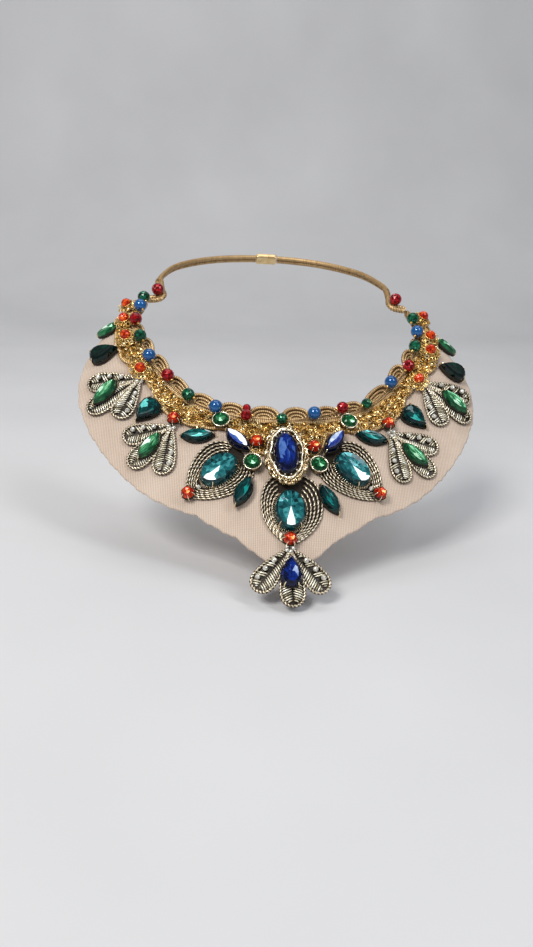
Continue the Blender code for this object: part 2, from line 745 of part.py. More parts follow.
def strap_knots(side):
    """Knots of a strap's middle line: the lace's corner, then STRAP_ROUTE, with one more beyond each end."""
    angle, radius, height = np.array(STRAP_ROUTE).T
    angle = side * np.radians(angle)
    radius = radius * NECK_RADIUS
    route = np.stack([radius * np.sin(angle), -radius * np.cos(angle), height * BACK_RISE], axis=-1)
    edge = neck_edge(STRAP_ROOT)
    level = TRIM_BASE + STRAP_THICKNESS / 2
    roots = over(side * STRAP_ROOT, np.array([edge + STRAP_WIDTH, edge - GAP]), level)
    return np.vstack([roots, route, route[-2] * (-1, 1, 1)])


def strap_frame(point, ahead):
    """Directions across a strap and out of the neck, for a point and the direction of the strap there."""
    radial = unit(point * (1, 1, 0))
    lean = math.radians(STRAP_LEAN)
    outward = radial * math.cos(lean) + np.array([0.0, 0.0, math.sin(lean)])
    across = unit(np.cross(ahead, outward))
    return across, unit(np.cross(across, ahead))


def strap_line(side):
    """Points along a strap's middle and the strap's directions there."""
    points = smooth(strap_knots(side), STRAP_STATIONS)
    return points, unit(np.gradient(points, axis=0))


def build_strap(name, side):
    """Two cords side by side, from the lace's corner round the neck to the clasp."""
    points, aheads = strap_line(side)
    wide, high = (np.array(STRAP_SECTION) * (STRAP_WIDTH, STRAP_THICKNESS)).T
    sections = []
    for point, ahead in zip(points, aheads):
        across, outward = strap_frame(point, ahead)
        sections.append(point + wide[:, None] * across + high[:, None] * outward)
    put(name, loft(sections), "lace")


def build_strap_bead(name, side):
    """Round bead sewn on a strap at the first row of STRAP_ROUTE."""
    points, aheads = strap_line(side)
    station = int(np.argmin(np.linalg.norm(points - strap_knots(side)[2], axis=1)))
    _, outward = strap_frame(points[station], aheads[station])
    point = points[station] + outward * (STRAP_THICKNESS / 2 + GAP + ROUND_BEAD / 2)
    build_bead(name, point, ROUND_BEAD, "mixed_beads")


def build_clasp():
    """Plain clasp at the back, between the straps' ends."""
    length, width, thickness = CLASP
    middle = strap_knots(1)[-2]
    across, outward = strap_frame(middle, np.array([1.0, 0.0, 0.0]))
    axes = Matrix(((1.0, 0.0, 0.0), -across, outward)).transposed()
    bm = bmesh.new()
    bmesh.ops.create_cube(bm, size=1.0)
    bmesh.ops.scale(bm, vec=(length, width, thickness), verts=bm.verts)
    mesh = to_mesh(bm)
    mesh.transform(Matrix.Translation(Vector(middle)) @ axes.to_4x4())
    clasp = put("clasp", mesh, "gold")
    edge = clasp.modifiers.new("edges", "BEVEL")
    edge.width = 0.0007
    edge.segments = 2


def build():
    build_net()
    build_lace()
    build_field()
    for row in MEDALLIONS:
        build_medallion(*row)
    for row in FANS:
        build_fan(*row)
    build_frame()
    build_stones()
    build_edge_beads("edge_beads_left", EDGE_BEADS_LEFT)
    build_edge_beads("edge_beads_right", EDGE_BEADS_RIGHT)
    for name, along, out, size in ACCENT_BEADS:
        build_bead(name, bead_place(along, out, size), size, "orange")
    for name, side in (("left", -1), ("right", 1)):
        build_strap("strap_" + name, side)
        build_strap_bead("strap_bead_" + name, side)
    build_clasp()


build()
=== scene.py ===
import math

import bpy
import numpy as np
from mathutils import Matrix, Vector


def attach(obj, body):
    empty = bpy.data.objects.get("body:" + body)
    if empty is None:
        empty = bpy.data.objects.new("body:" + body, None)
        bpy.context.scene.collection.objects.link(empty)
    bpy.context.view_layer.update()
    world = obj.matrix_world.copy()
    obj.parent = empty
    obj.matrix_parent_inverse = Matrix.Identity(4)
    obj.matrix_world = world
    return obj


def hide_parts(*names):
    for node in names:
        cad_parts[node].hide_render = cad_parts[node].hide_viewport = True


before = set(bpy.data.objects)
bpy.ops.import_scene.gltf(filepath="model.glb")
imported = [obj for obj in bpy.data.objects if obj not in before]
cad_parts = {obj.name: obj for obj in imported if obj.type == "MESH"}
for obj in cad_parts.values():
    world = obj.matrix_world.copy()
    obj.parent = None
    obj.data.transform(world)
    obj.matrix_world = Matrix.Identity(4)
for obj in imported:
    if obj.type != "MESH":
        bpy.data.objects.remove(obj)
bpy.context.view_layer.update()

# the form that the bib lies on, with the sizes of the solids
NECK_RADIUS = 0.059
FRONT_REACH = 0.0285
FRONT_DROP = 0.0445
BACK_RISE = 0.0145
SLOPE_RUN = 0.064
BIB_HALF = 0.110
BIB_DEPTH = 0.074
END_RISE = 0.0125
GAP = 0.0003
LACE_WIDTH = 0.0033
ARCH_HEIGHT = 0.0045
NET_TOP = 0.00095
NET_BOTTOM = 0.00025

# heights over the form of what stands on the net, on cords, on the field and on the frame
TRIM_BASE = 0.0013
CORD_SEAT = 0.0031
FIELD_SEAT = 0.0035
FRAME_SEAT = 0.0047
SEATS = {"net": TRIM_BASE, "cord": CORD_SEAT, "field": FIELD_SEAT, "frame": FRAME_SEAT}

# stones and beads: length, width, height
OVAL = (0.0180, 0.0130, 0.0052)
CENTRE_STONE = (0.0205, 0.0112, 0.0042)
NAVETTE = (0.0150, 0.0070, 0.0036)
SMALL_NAVETTE = (0.0120, 0.0056, 0.0034)
PEAR = (0.0140, 0.0100, 0.0042)
BLUE_PEAR = (0.0132, 0.0088, 0.0040)
BEZEL = (0.0076, 0.0076, 0.0034)
CHATON = (0.0058, 0.0058, 0.0034)
PEARL = 0.0061
ROUND_BEAD = 0.0060
SMALL_BEAD = 0.0050
DROP_BEAD = 0.0055
STRAP_WIDTH = 0.0050
STRAP_THICKNESS = 0.0021
STRAP_LEAN = 40.0
CLASP_LENGTH = 0.0120

# degrees from the front, reach, height, slope at the neckline and further out (deg), swing forward (deg)
SECTIONS = (
    (0, 1.00, -1.00, 36, 44, 0),
    (30, 0.95, -0.88, 35, 52, 9),
    (60, 0.77, -0.21, 33, 54, 16),
    (90, 0.05, 0.00, 35, 53, 39),
    (120, 0.00, 0.52, 26, 26, 20),
    (150, 0.00, 0.86, 26, 26, 5),
    (180, 0.00, 1.00, 26, 26, 0),
)
# along (share of BIB_HALF), then up (share of END_RISE)
NECK_EDGE = (
    (0.00, 0.00), (0.80, 0.00), (0.85, 0.15), (0.875, 0.50), (0.895, 0.90), (0.93, 0.90),
    (0.96, 0.35), (1.00, -0.10),
)
# along (share of BIB_HALF), then out (share of BIB_DEPTH)
NET_EDGE = (
    (0.00, 1.00), (0.06, 0.92), (0.13, 0.81), (0.26, 0.71), (0.45, 0.71), (0.60, 0.70),
    (0.72, 0.68), (0.82, 0.64), (0.90, 0.57), (0.96, 0.45), (1.00, 0.30),
)
FIELD_EDGE = (
    (0.00, 0.290), (0.10, 0.285), (0.13, 0.240), (0.16, 0.145), (0.22, 0.135), (0.34, 0.180),
    (0.42, 0.200), (0.49, 0.205), (0.56, 0.155), (0.63, 0.145), (0.71, 0.180), (0.78, 0.210),
    (0.84, 0.195), (0.89, 0.175), (0.92, 0.095), (0.97, 0.065),
)
LACE_END = 0.930 * BIB_HALF
FIELD_END = 0.955 * BIB_HALF
STRAP_ROOT = 0.9125 * BIB_HALF
# degrees from the front, distance from the neck's axis (share of NECK_RADIUS), height (share of BACK_RISE)
STRAP_ROUTE = (
    (60, 1.115, 0.00),
    (68, 1.060, 0.14),
    (78, 1.025, 0.30),
    (90, 1.005, 0.45),
    (120, 1.000, 0.72),
    (150, 1.000, 0.93),
    (180, 1.000, 1.00),
)

# name, cut, along (share of BIB_HALF), out (share of BIB_DEPTH), turn (deg from along towards out), seat
STONES = (
    ("centre_stone", "centre", 0.000, 0.300, 88, "frame"),
    ("oval_left", "oval", -0.210, 0.422, 126, "net"),
    ("oval_right", "oval", 0.217, 0.404, 59, "net"),
    ("oval_lower", "oval", 0.006, 0.645, 92, "net"),
    ("bezel_left_upper", "bezel", -0.238, 0.100, 0, "field"),
    ("bezel_right_upper", "bezel", 0.254, 0.092, 0, "field"),
    ("bezel_left_lower", "bezel", -0.105, 0.354, 0, "cord"),
    ("bezel_right_lower", "bezel", 0.103, 0.361, 0, "cord"),
    ("navette_blue_left", "navette", -0.163, 0.215, 37, "cord"),
    ("navette_blue_right", "navette", 0.174, 0.215, 138, "cord"),
    ("navette_teal_left_upper", "navette", -0.315, 0.231, 155, "net"),
    ("navette_teal_right_upper", "navette", 0.335, 0.226, 38, "net"),
    ("navette_teal_left_lower", "navette", -0.124, 0.543, 109, "cord"),
    ("navette_teal_right_lower", "navette", 0.122, 0.573, 68, "net"),
    ("pear_teal_left", "pear", -0.547, 0.282, 82, "net"),
    ("pear_teal_right", "pear", 0.552, 0.286, 96, "net"),
    ("pear_dark_left", "pear", -0.862, 0.303, -82, "net"),
    ("pear_dark_right", "pear", 0.854, 0.336, -102, "net"),
    ("navette_small_left", "small_navette", -0.950, 0.211, 91, "net"),
    ("navette_small_right", "small_navette", 0.950, 0.250, 91, "net"),
    ("navette_fan_outer_left", "navette", -0.733, 0.434, 71, "cord"),
    ("navette_fan_inner_left", "navette", -0.474, 0.455, 85, "cord"),
    ("navette_fan_inner_right", "navette", 0.473, 0.470, 85, "cord"),
    ("navette_fan_outer_right", "navette", 0.745, 0.445, 102, "cord"),
    ("pear_blue", "blue_pear", 0.003, 0.996, -88, "cord"),
    ("chaton_frame_left", "chaton", -0.097, 0.212, 0, "field"),
    ("chaton_frame_right", "chaton", 0.096, 0.241, 0, "field"),
    ("chaton_fan_left", "chaton", -0.424, 0.211, 0, "field"),
    ("chaton_fan_right", "chaton", 0.420, 0.201, 0, "field"),
    ("chaton_tip_left", "chaton", -0.292, 0.605, 0, "cord"),
    ("chaton_tip_right", "chaton", 0.290, 0.584, 0, "cord"),
    ("chaton_tip_lower", "chaton", 0.003, 0.814, 0, "cord"),
)

# name, stone inside, lengths to the tip and the root, half widths on its two sides
MEDALLIONS = (
    ("medallion_left", "oval_left", 0.0172, 0.0135, (0.0130, 0.0143)),
    ("medallion_right", "oval_right", 0.0172, 0.0135, (0.0142, 0.0130)),
    ("medallion_lower", "oval_lower", 0.0147, 0.0185, (0.0140, 0.0118)),
)

# name, root's along and out (shares), then length (m) and direction (deg) of each petal
FANS = (
    ("fan_outer_left", -0.643, 0.180, ((0.0222, 120), (0.0262, 87), (0.0212, 57))),
    ("fan_inner_left", -0.425, 0.254, ((0.0212, 129), (0.0252, 95), (0.0232, 61))),
    ("fan_inner_right", 0.423, 0.261, ((0.0218, 53), (0.0260, 84), (0.0240, 119))),
    ("fan_outer_right", 0.679, 0.188, ((0.0226, 131), (0.0268, 100), (0.0228, 74))),
    ("fan_lower", 0.002, 0.862, ((0.0215, 129), (0.0233, 88), (0.0218, 51))),
)

# along (share of BIB_HALF), out (share of BIB_DEPTH), size, kind
EDGE_BEADS_LEFT = (
    (-0.893, -0.135, ROUND_BEAD, "green"),
    (-0.868, -0.085, PEARL, "pearl"),
    (-0.830, -0.010, ROUND_BEAD, "red"),
    (-0.754, 0.022, ROUND_BEAD, "green"),
    (-0.660, 0.044, PEARL, "pearl"),
    (-0.535, 0.025, ROUND_BEAD, "red"),
    (-0.400, 0.031, ROUND_BEAD, "green"),
    (-0.269, 0.033, PEARL, "pearl"),
    (-0.144, 0.048, SMALL_BEAD, "red"),
)
EDGE_BEADS_RIGHT = (
    (-0.010, 0.058, SMALL_BEAD, "green"),
    (0.115, 0.022, PEARL, "pearl"),
    (0.240, -0.002, DROP_BEAD, "red"),
    (0.356, 0.020, SMALL_BEAD, "green"),
    (0.526, 0.010, PEARL, "pearl"),
    (0.650, 0.040, ROUND_BEAD, "red"),
    (0.743, 0.008, ROUND_BEAD, "green"),
    (0.809, -0.025, PEARL, "pearl"),
    (0.850, -0.090, ROUND_BEAD, "green"),
)
# along, out, size
TWIN_BEAD = (-0.147, -0.016, 0.0038)
# name, along, out
ACCENT_BEADS = (
    ("accent_left_1", -0.659, 0.145),
    ("accent_left_2", -0.813, 0.108),
    ("accent_left_3", -0.885, 0.060),
    ("accent_left_4", -0.948, 0.000),
    ("accent_right_1", 0.654, 0.150),
    ("accent_right_2", 0.800, 0.119),
    ("accent_right_3", 0.857, 0.076),
    ("accent_right_4", 0.925, -0.020),
)

FULL = 2 * math.pi
chance = np.random.default_rng(11)


# the form

def catmull_rom(a, b, c, d, t):
    """The curve from b to c at t, steered by a and d."""
    bend = (2 * a - 5 * b + 4 * c - d) * t**2 + (3 * b - a - 3 * c + d) * t**3
    return 0.5 * (2 * b + (c - a) * t + bend)


def column(index, angle):
    """A column of SECTIONS at angles round the neck, mirrored at the front and the back."""
    values = np.array([row[index] for row in SECTIONS], float)
    step = math.radians(SECTIONS[1][0])
    last = len(values) - 1
    place = np.minimum(np.abs(angle) / step, last)
    low = np.minimum(place.astype(int), last - 1)

    def value(i):
        i = np.abs(i)
        return values[np.where(i > last, 2 * last - i, i)]

    return catmull_rom(value(low - 1), value(low), value(low + 1), value(low + 2), place - low)


def form(angle, out):
    """Points of the form at an angle round the neck and a length out from the neckline."""
    reach = NECK_RADIUS + FRONT_REACH * column(1, angle)
    level = column(2, angle)
    height = np.where(level < 0, level * FRONT_DROP, level * BACK_RISE)
    slope = np.radians(column(3, angle))
    bend = np.radians(column(4, angle) - column(3, angle)) / SLOPE_RUN + 1e-6
    heading = angle - np.sign(angle) * np.radians(column(5, angle))
    forward = (np.sin(slope + bend * out) - np.sin(slope)) / bend
    down = (np.cos(slope) - np.cos(slope + bend * out)) / bend
    x = reach * np.sin(angle) + forward * np.sin(heading)
    y = -reach * np.cos(angle) - forward * np.cos(heading)
    return np.stack([x, y, height - down], axis=-1)


def slopes(angle, out):
    turn, step = 1e-4, 1e-5
    across = (form(angle + turn, out) - form(angle - turn, out)) / (2 * turn)
    outward = (form(angle, out + step) - form(angle, out - step)) / (2 * step)
    return across, outward


def unit(vectors):
    return vectors / np.linalg.norm(vectors, axis=-1, keepdims=True)


def normal_at(angle, out):
    across, outward = slopes(angle, out)
    return unit(np.cross(outward, across))

def path_lengths(points):
    """Lengths along a path up to each of its points."""
    return np.concatenate([[0.0], np.cumsum(np.linalg.norm(np.diff(points, axis=0), axis=1))])


LOOP_ANGLES = np.linspace(0.0, math.pi, 721)
LOOP_LENGTHS = path_lengths(form(LOOP_ANGLES, np.zeros_like(LOOP_ANGLES)))


def angle_at(along):
    return np.sign(along) * np.interp(np.abs(along), LOOP_LENGTHS, LOOP_ANGLES)


def as_arrays(*values):
    return np.broadcast_arrays(*(np.asarray(value, float) for value in values))


def on_form(along, out, height):
    """Points at a height over the form, and the form's normals there."""
    along, out, height = as_arrays(along, out, height)
    angle = angle_at(along)
    normals = normal_at(angle, out)
    return form(angle, out) + normals * height[..., None], normals


def lengths_of(along, out):
    """Lengths along and out, from shares of the bib's sizes."""
    return along * BIB_HALF, out * BIB_DEPTH


def edge_line(rows, along, down_size):
    """A line of the bib's outline: rows hold shares of BIB_HALF and of down_size."""
    shares = np.array(rows)
    return np.interp(np.abs(along), shares[:, 0] * BIB_HALF, shares[:, 1] * down_size)


def neck_edge(along):
    return -edge_line(NECK_EDGE, along, END_RISE)


DROP_STEPS = 6


class Patch:
    """A flat frame that touches the form at one point; shapes drawn in it are dropped onto the form."""

    def __init__(self, along, out, turn=0.0):
        self.angle = float(angle_at(along))
        self.out = float(out)
        across, outward = slopes(np.array([self.angle]), np.array([self.out]))
        self.origin = form(np.array([self.angle]), np.array([self.out]))[0]
        self.normal = unit(np.cross(outward, across))[0]
        level = unit(across)[0]
        downhill = np.cross(level, self.normal)
        c, s = math.cos(math.radians(turn)), math.sin(math.radians(turn))
        self.first = level * c + downhill * s
        self.second = np.cross(self.first, self.normal)

    def place(self, points, height):
        """Points of a rigid piece, drawn with +Z out of the form, that stands at a height."""
        base = self.origin + self.normal * height
        axes = np.array([self.first, -self.second, self.normal])
        return base + np.asarray(points) @ axes

    def drop(self, x, y, height):
        """Points over the form below (x, y), and the form's normals there."""
        x, y, height = as_arrays(x, y, height)
        target = self.origin + x[..., None] * self.first + y[..., None] * self.second
        angle = np.full(x.shape, self.angle)
        out = np.full(x.shape, self.out)
        for _ in range(DROP_STEPS):
            across, outward = slopes(angle, out)
            miss = target - form(angle, out)
            a, b = across @ self.first, outward @ self.first
            c, d = across @ self.second, outward @ self.second
            e, f = miss @ self.first, miss @ self.second
            scale = a * d - b * c
            angle = angle + (e * d - b * f) / scale
            out = out + (a * f - e * c) / scale
        normals = normal_at(angle, out)
        return form(angle, out) + normals * height[..., None], normals


# meshes

class Shape:
    """The points and faces of one piece, with a material slot and a tint for each face."""

    def __init__(self):
        self.points, self.faces, self.slots, self.tints, self.smooth = [], [], [], [], []
        self.count = 0

    def add(self, points, faces, slot=0, tint=0.5, smooth=True):
        points = np.asarray(points, float).reshape(-1, 3)
        faces = np.asarray(faces, int)
        self.points.append(points)
        self.faces.append(faces + self.count)
        self.slots.append(np.full(len(faces), slot))
        self.tints.append(np.array(np.broadcast_to(tint, len(faces)), float))
        self.smooth.append(np.full(len(faces), smooth))
        self.count += len(points)

    def make(self, name, looks, nodes):
        """Makes the object, with its materials, and hides the CAD nodes that it stands for."""
        mesh = bpy.data.meshes.new(name)
        faces = [face for block in self.faces for face in block.tolist()]
        mesh.from_pydata(np.concatenate(self.points).tolist(), [], faces)
        mesh.polygons.foreach_set("material_index", np.concatenate(self.slots))
        mesh.polygons.foreach_set("use_smooth", np.concatenate(self.smooth))
        tint = mesh.attributes.new("tint", "FLOAT", "FACE")
        tint.data.foreach_set("value", np.concatenate(self.tints))
        for look in looks:
            mesh.materials.append(LOOKS[look])
        mesh.update()
        item = bpy.data.objects.new(name, mesh)
        bpy.context.scene.collection.objects.link(item)
        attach(item, "root")
        if nodes:
            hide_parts(*nodes)
        return item


def ring_faces(rings, sides, closed):
    """Quads between rings of equal length that turn clockwise about their path."""
    i = np.arange(rings if closed else rings - 1)[:, None]
    j = np.arange(sides)[None, :]
    k = (j + 1) % sides
    low = i * sides
    high = ((i + 1) % rings) * sides
    return np.stack([low + j, high + j, high + k, low + k], axis=-1).reshape(-1, 4)


def at_lengths(points, lengths, places):
    """Points of a path at lengths along it."""
    return np.stack([np.interp(places, lengths, points[:, k]) for k in range(3)], axis=-1)


def resample(points, normals, step, closed=False):
    """Evenly spaced points and normals of a path, and the lengths where they lie."""
    if closed:
        points = np.vstack([points, points[:1]])
        normals = np.vstack([normals, normals[:1]])
    lengths = path_lengths(points)
    count = max(5, int(round(lengths[-1] / step)))
    places = np.linspace(0.0, lengths[-1], count, endpoint=not closed)
    return at_lengths(points, lengths, places), unit(at_lengths(normals, lengths, places)), places


def frames(points, normals, closed):
    """Directions across a path and up from it."""
    if closed:
        ahead = unit(np.roll(points, -1, axis=0) - np.roll(points, 1, axis=0))
    else:
        ahead = unit(np.gradient(points, axis=0))
    side = unit(np.cross(ahead, normals))
    return side, unit(np.cross(side, ahead))


def angles_of(count):
    return np.arange(count) * FULL / count


def circle(count, first, second):
    """Points round a circle or an ellipse, from the end of first towards the end of second."""
    turn = angles_of(count)[:, None]
    return np.cos(turn) * first + np.sin(turn) * second


CAP_TINT = 0.4


def tube(shape, points, normals, radius, sides=8, closed=False, slot=0, tint=0.5, smooth=True):
    """A tube along a path; radius is one value, one for each ring, or one for each point of each ring."""
    side, up = frames(points, normals, closed)
    turn = angles_of(sides)
    radius = np.asarray(radius, float)
    if radius.ndim == 1:
        radius = radius[:, None]
    radius = np.broadcast_to(radius, (len(points), sides))
    wide = side[:, None] * (radius * np.cos(turn))[..., None]
    high = up[:, None] * (radius * np.sin(turn))[..., None]
    vertices = (points[:, None] + (wide + high)).reshape(-1, 3)
    faces = ring_faces(len(points), sides, closed)
    if np.ndim(tint) == 2:
        tint = ((tint + np.roll(tint, -1, axis=1)) / 2).reshape(-1)[:len(faces)]
    shape.add(vertices, faces, slot, tint, smooth)
    if not closed:
        j = np.arange(sides)
        k = (j + 1) % sides
        hub = np.full(sides, sides)
        start = np.vstack([vertices[:sides], points[:1]])
        end = np.vstack([vertices[-sides:], points[-1:]])
        shape.add(start, np.stack([j, k, hub], -1), slot, CAP_TINT, smooth)
        shape.add(end, np.stack([k, j, hub], -1), slot, CAP_TINT, smooth)


def painted_shading_tint(wave, spread, turn, low):
    """Painted shade in the grooves and under the cord, down to a share low, and painted highlights on the
    lobes, with some chance.
    """
    tint = 0.08 + 0.43 * (wave + 1) + spread * (chance.random((len(wave), 1)) - 0.5)
    return tint * (low + (1 - low) * np.clip((np.sin(turn) + 0.20) / 0.95, 0, 1))


def rope(shape, points, normals, radius, lay, depth, plies=2, sides=8, closed=False, slot=0, low=0.12):
    """A twisted cord: its lobes turn once round in each lay, and its tints paint shade in the grooves and
    under the cord and highlights on the lobes.
    """
    points, normals, places = resample(points, normals, lay / (4 * plies), closed)
    if closed:
        total = places[-1] + places[1]
        lay = total / max(1, round(total / lay))
    turn = angles_of(sides)
    wave = np.cos(plies * (turn[None, :] + FULL * places[:, None] / lay))
    # painted shade in the grooves and under the cord, painted highlights on the lobes
    tint = painted_shading_tint(wave, 0.3, turn, low)
    tube(shape, points, normals, radius * (1 + depth * wave), sides, closed, slot, tint)


RIB_PITCH = 0.00092
RIB_DEPTH = 0.22
RIB_SIDES = 8


def wrapped(shape, points, normals, radius, slot=0):
    """A cord wrapped in thread: ribs run round it, a little aslant, with painted shade between the ribs and
    under the cord and painted highlights on the ribs.
    """
    points, normals, places = resample(points, normals, RIB_PITCH / 4)
    turn = angles_of(RIB_SIDES)
    wave = np.cos(FULL * places[:, None] / RIB_PITCH + turn[None, :])
    # painted shade between the ribs and under the cord, painted highlights on the ribs
    tint = painted_shading_tint(wave, 0.2, turn, 0.12)
    tube(shape, points, normals, radius * (1 + RIB_DEPTH * wave), RIB_SIDES, False, slot, tint)


def slab(shape, low, high, slot=0, tint=0.5, smooth=True):
    """A closed sheet between two grids of points."""
    rows, columns = low.shape[:2]
    count = rows * columns
    i = np.arange(rows - 1)[:, None]
    j = np.arange(columns - 1)[None, :]
    a = (i * columns + j).reshape(-1)
    top = np.stack([a, a + columns, a + columns + 1, a + 1], -1) + count
    bottom = np.stack([a, a + 1, a + columns + 1, a + columns], -1)
    rim = np.concatenate([
        np.arange(columns - 1),
        np.arange(rows - 1) * columns + columns - 1,
        count - 1 - np.arange(columns - 1),
        (rows - 1 - np.arange(rows - 1)) * columns,
    ])
    after = np.roll(rim, -1)
    wall = np.stack([rim, rim + count, after + count, after], -1)
    points = np.concatenate([low.reshape(-1, 3), high.reshape(-1, 3)])
    shape.add(points, np.concatenate([top, bottom, wall]), slot, tint, smooth)

HOLE_ANGLE = 0.06


def ball(shape, centre, radius, axis, around, rows, slot, faceted=True):
    """A round bead with its hole along axis, cut in facets or smooth."""
    axis = unit(np.asarray(axis, float))
    guide = np.array([0.0, 0.0, 1.0]) if abs(axis[2]) < 0.8 else np.array([1.0, 0.0, 0.0])
    first = unit(np.cross(axis, guide))
    second = np.cross(axis, first)
    polar = np.linspace(HOLE_ANGLE, math.pi - HOLE_ANGLE, rows)
    points = []
    for k, p in enumerate(polar):
        turn = angles_of(around) + ((k % 2) * math.pi / around if faceted else 0.0)
        ring = np.cos(turn)[:, None] * first + np.sin(turn)[:, None] * second
        points.append(centre + radius * (math.sin(p) * ring + math.cos(p) * axis))
    points = np.concatenate(points)
    faces = []
    for k in range(rows - 1):
        for j in range(around):
            a, b = k * around + j, k * around + (j + 1) % around
            c, d = a + around, b + around
            if faceted and k % 2 == 0:
                faces += [(a, c, b), (b, c, d)]
            elif faceted:
                faces += [(a, c, d), (a, d, b)]
            else:
                faces.append((a, c, d, b))
    tints = np.clip(chance.normal(0.42, 0.17, len(faces)), 0.05, 1.0) if faceted else 0.5
    shape.add(points, faces, slot, tints, not faceted)
    for start, sign in ((0, 1), ((rows - 1) * around, -1)):
        ring = np.arange(start, start + around)
        cap = np.stack([ring, np.roll(ring, -1), np.full(around, len(points))], -1)
        hub = centre + sign * radius * math.cos(polar[0]) * axis
        shape.add(np.vstack([points, hub]), cap[:, ::sign], slot, CAP_TINT, not faceted)


def crystal(shape, place, radius, slot):
    """A small cut crystal at a point, with its axis along the normal there."""
    centre, normal = place
    ball(shape, centre, radius, normal, 10, 7, slot)


# materials

def shader(name):
    made = bpy.data.materials.new(name)
    made.use_nodes = True
    return made, made.node_tree, made.node_tree.nodes["Principled BSDF"]


def set_inputs(made, values):
    for key, value in values.items():
        made.inputs[key].default_value = value


def node(tree, kind, **values):
    """A new node, with its inputs or its own settings by name."""
    made = tree.nodes.new(kind)
    for key, value in values.items():
        if key in made.inputs:
            made.inputs[key].default_value = value
        else:
            setattr(made, key, value)
    return made


def ramp(tree, stops, factor):
    made = tree.nodes.new("ShaderNodeValToRGB")
    line = made.color_ramp
    while len(line.elements) < len(stops):
        line.elements.new(0.5)
    for element, (place, colour) in zip(line.elements, stops):
        element.position = place
        element.color = (*colour, 1.0)
    tree.links.new(factor, made.inputs["Fac"])
    return made.outputs["Color"]


def texture(tree, kind, **values):
    """A texture that follows the place in space."""
    place = tree.nodes.new("ShaderNodeNewGeometry")
    made = node(tree, kind, **values)
    tree.links.new(place.outputs["Position"], made.inputs["Vector"])
    return made


def noise(tree, scale, detail=3.0):
    return texture(tree, "ShaderNodeTexNoise", Scale=scale, Detail=detail).outputs["Fac"]


def mixed(tree, first, second, share):
    """first times (1 - share) plus second times share."""
    made = tree.nodes.new("ShaderNodeMix")
    made.inputs["Factor"].default_value = share
    tree.links.new(first, made.inputs["A"])
    tree.links.new(second, made.inputs["B"])
    return made.outputs["Result"]


def tint_value(tree):
    return node(tree, "ShaderNodeAttribute", attribute_name="tint").outputs["Fac"]


def set_colour(tree, principled, stops, factor):
    colour = ramp(tree, stops, factor)
    tree.links.new(colour, principled.inputs["Base Color"])
    return colour


def set_bump(tree, principled, height, strength, distance):
    made = node(tree, "ShaderNodeBump", Strength=strength, Distance=distance)
    tree.links.new(height, made.inputs["Height"])
    tree.links.new(made.outputs["Normal"], principled.inputs["Normal"])


def set_roughness(tree, principled, low, high, scale):
    made = node(tree, "ShaderNodeMapRange")
    set_inputs(made, {"To Min": low, "To Max": high})
    tree.links.new(noise(tree, scale), made.inputs["Value"])
    tree.links.new(made.outputs["Result"], principled.inputs["Roughness"])


def metal_thread(name, stops, metallic, rough, bump):
    """Metal thread or cord: colour by tint and noise, with fine grain; the tint carries painted shade and
    painted highlights.
    """
    made, tree, principled = shader(name)
    set_colour(tree, principled, stops, mixed(tree, tint_value(tree), noise(tree, 900.0), 0.25))
    principled.inputs["Metallic"].default_value = metallic
    set_roughness(tree, principled, *rough, 1500.0)
    set_bump(tree, principled, noise(tree, 3200.0, 2.0), bump, 0.0002)
    return made


def cut_glass(name, stops, metallic):
    """Foil-backed stone: its facet tints paint reflections and shade, speckles paint reflections from inner
    facets, and the painted flash glows a little by emission.
    """
    made, tree, principled = shader(name)
    # speckles of painted reflection from inner facets
    shards = texture(tree, "ShaderNodeTexVoronoi", feature="F1", Scale=520.0)
    grey = tree.nodes.new("ShaderNodeRGBToBW")
    tree.links.new(shards.outputs["Color"], grey.inputs["Color"])
    inside = mixed(tree, grey.outputs["Val"], noise(tree, 420.0), 0.35)
    factor = mixed(tree, tint_value(tree), inside, 0.22)
    colour = set_colour(tree, principled, stops, factor)
    # the painted flash also glows a little by emission
    tree.links.new(colour, principled.inputs["Emission Color"])
    painted_flash_glow = node(tree, "ShaderNodeMapRange")
    set_inputs(painted_flash_glow, {"From Min": 0.70, "From Max": 0.90, "To Max": 0.45})
    tree.links.new(factor, painted_flash_glow.inputs["Value"])
    tree.links.new(painted_flash_glow.outputs["Result"], principled.inputs["Emission Strength"])
    set_roughness(tree, principled, 0.05, 0.11, 260.0)
    set_inputs(principled, {"Metallic": metallic, "Specular IOR Level": 0.22, "Coat Weight": 0.8,
                            "Coat Roughness": 0.02, "Coat IOR": 1.28})
    return made


def stripes(tree, direction, scale, distortion):
    return texture(tree, "ShaderNodeTexWave", wave_type="BANDS", bands_direction=direction,
                   Scale=scale, Distortion=distortion)


def net_fabric():
    """Skin-coloured net: fine upright ribs crossed by finer threads."""
    made, tree, principled = shader("net_fabric")
    ribs = stripes(tree, "X", 430.0, 0.5)
    ribs.inputs["Detail Scale"].default_value = 60.0
    cross = stripes(tree, "Z", 620.0, 0.8)
    weave = mixed(tree, ribs.outputs["Fac"], cross.outputs["Fac"], 0.25)
    cloud = mixed(tree, weave, noise(tree, 60.0, 4.0), 0.45)
    stops = ((0.15, (0.38, 0.28, 0.21)), (0.5, (0.56, 0.44, 0.35)), (0.85, (0.70, 0.58, 0.48)))
    set_colour(tree, principled, stops, cloud)
    set_inputs(principled, {"Roughness": 0.85, "Sheen Weight": 0.15})
    set_bump(tree, principled, weave, 0.6, 0.0002)
    return made


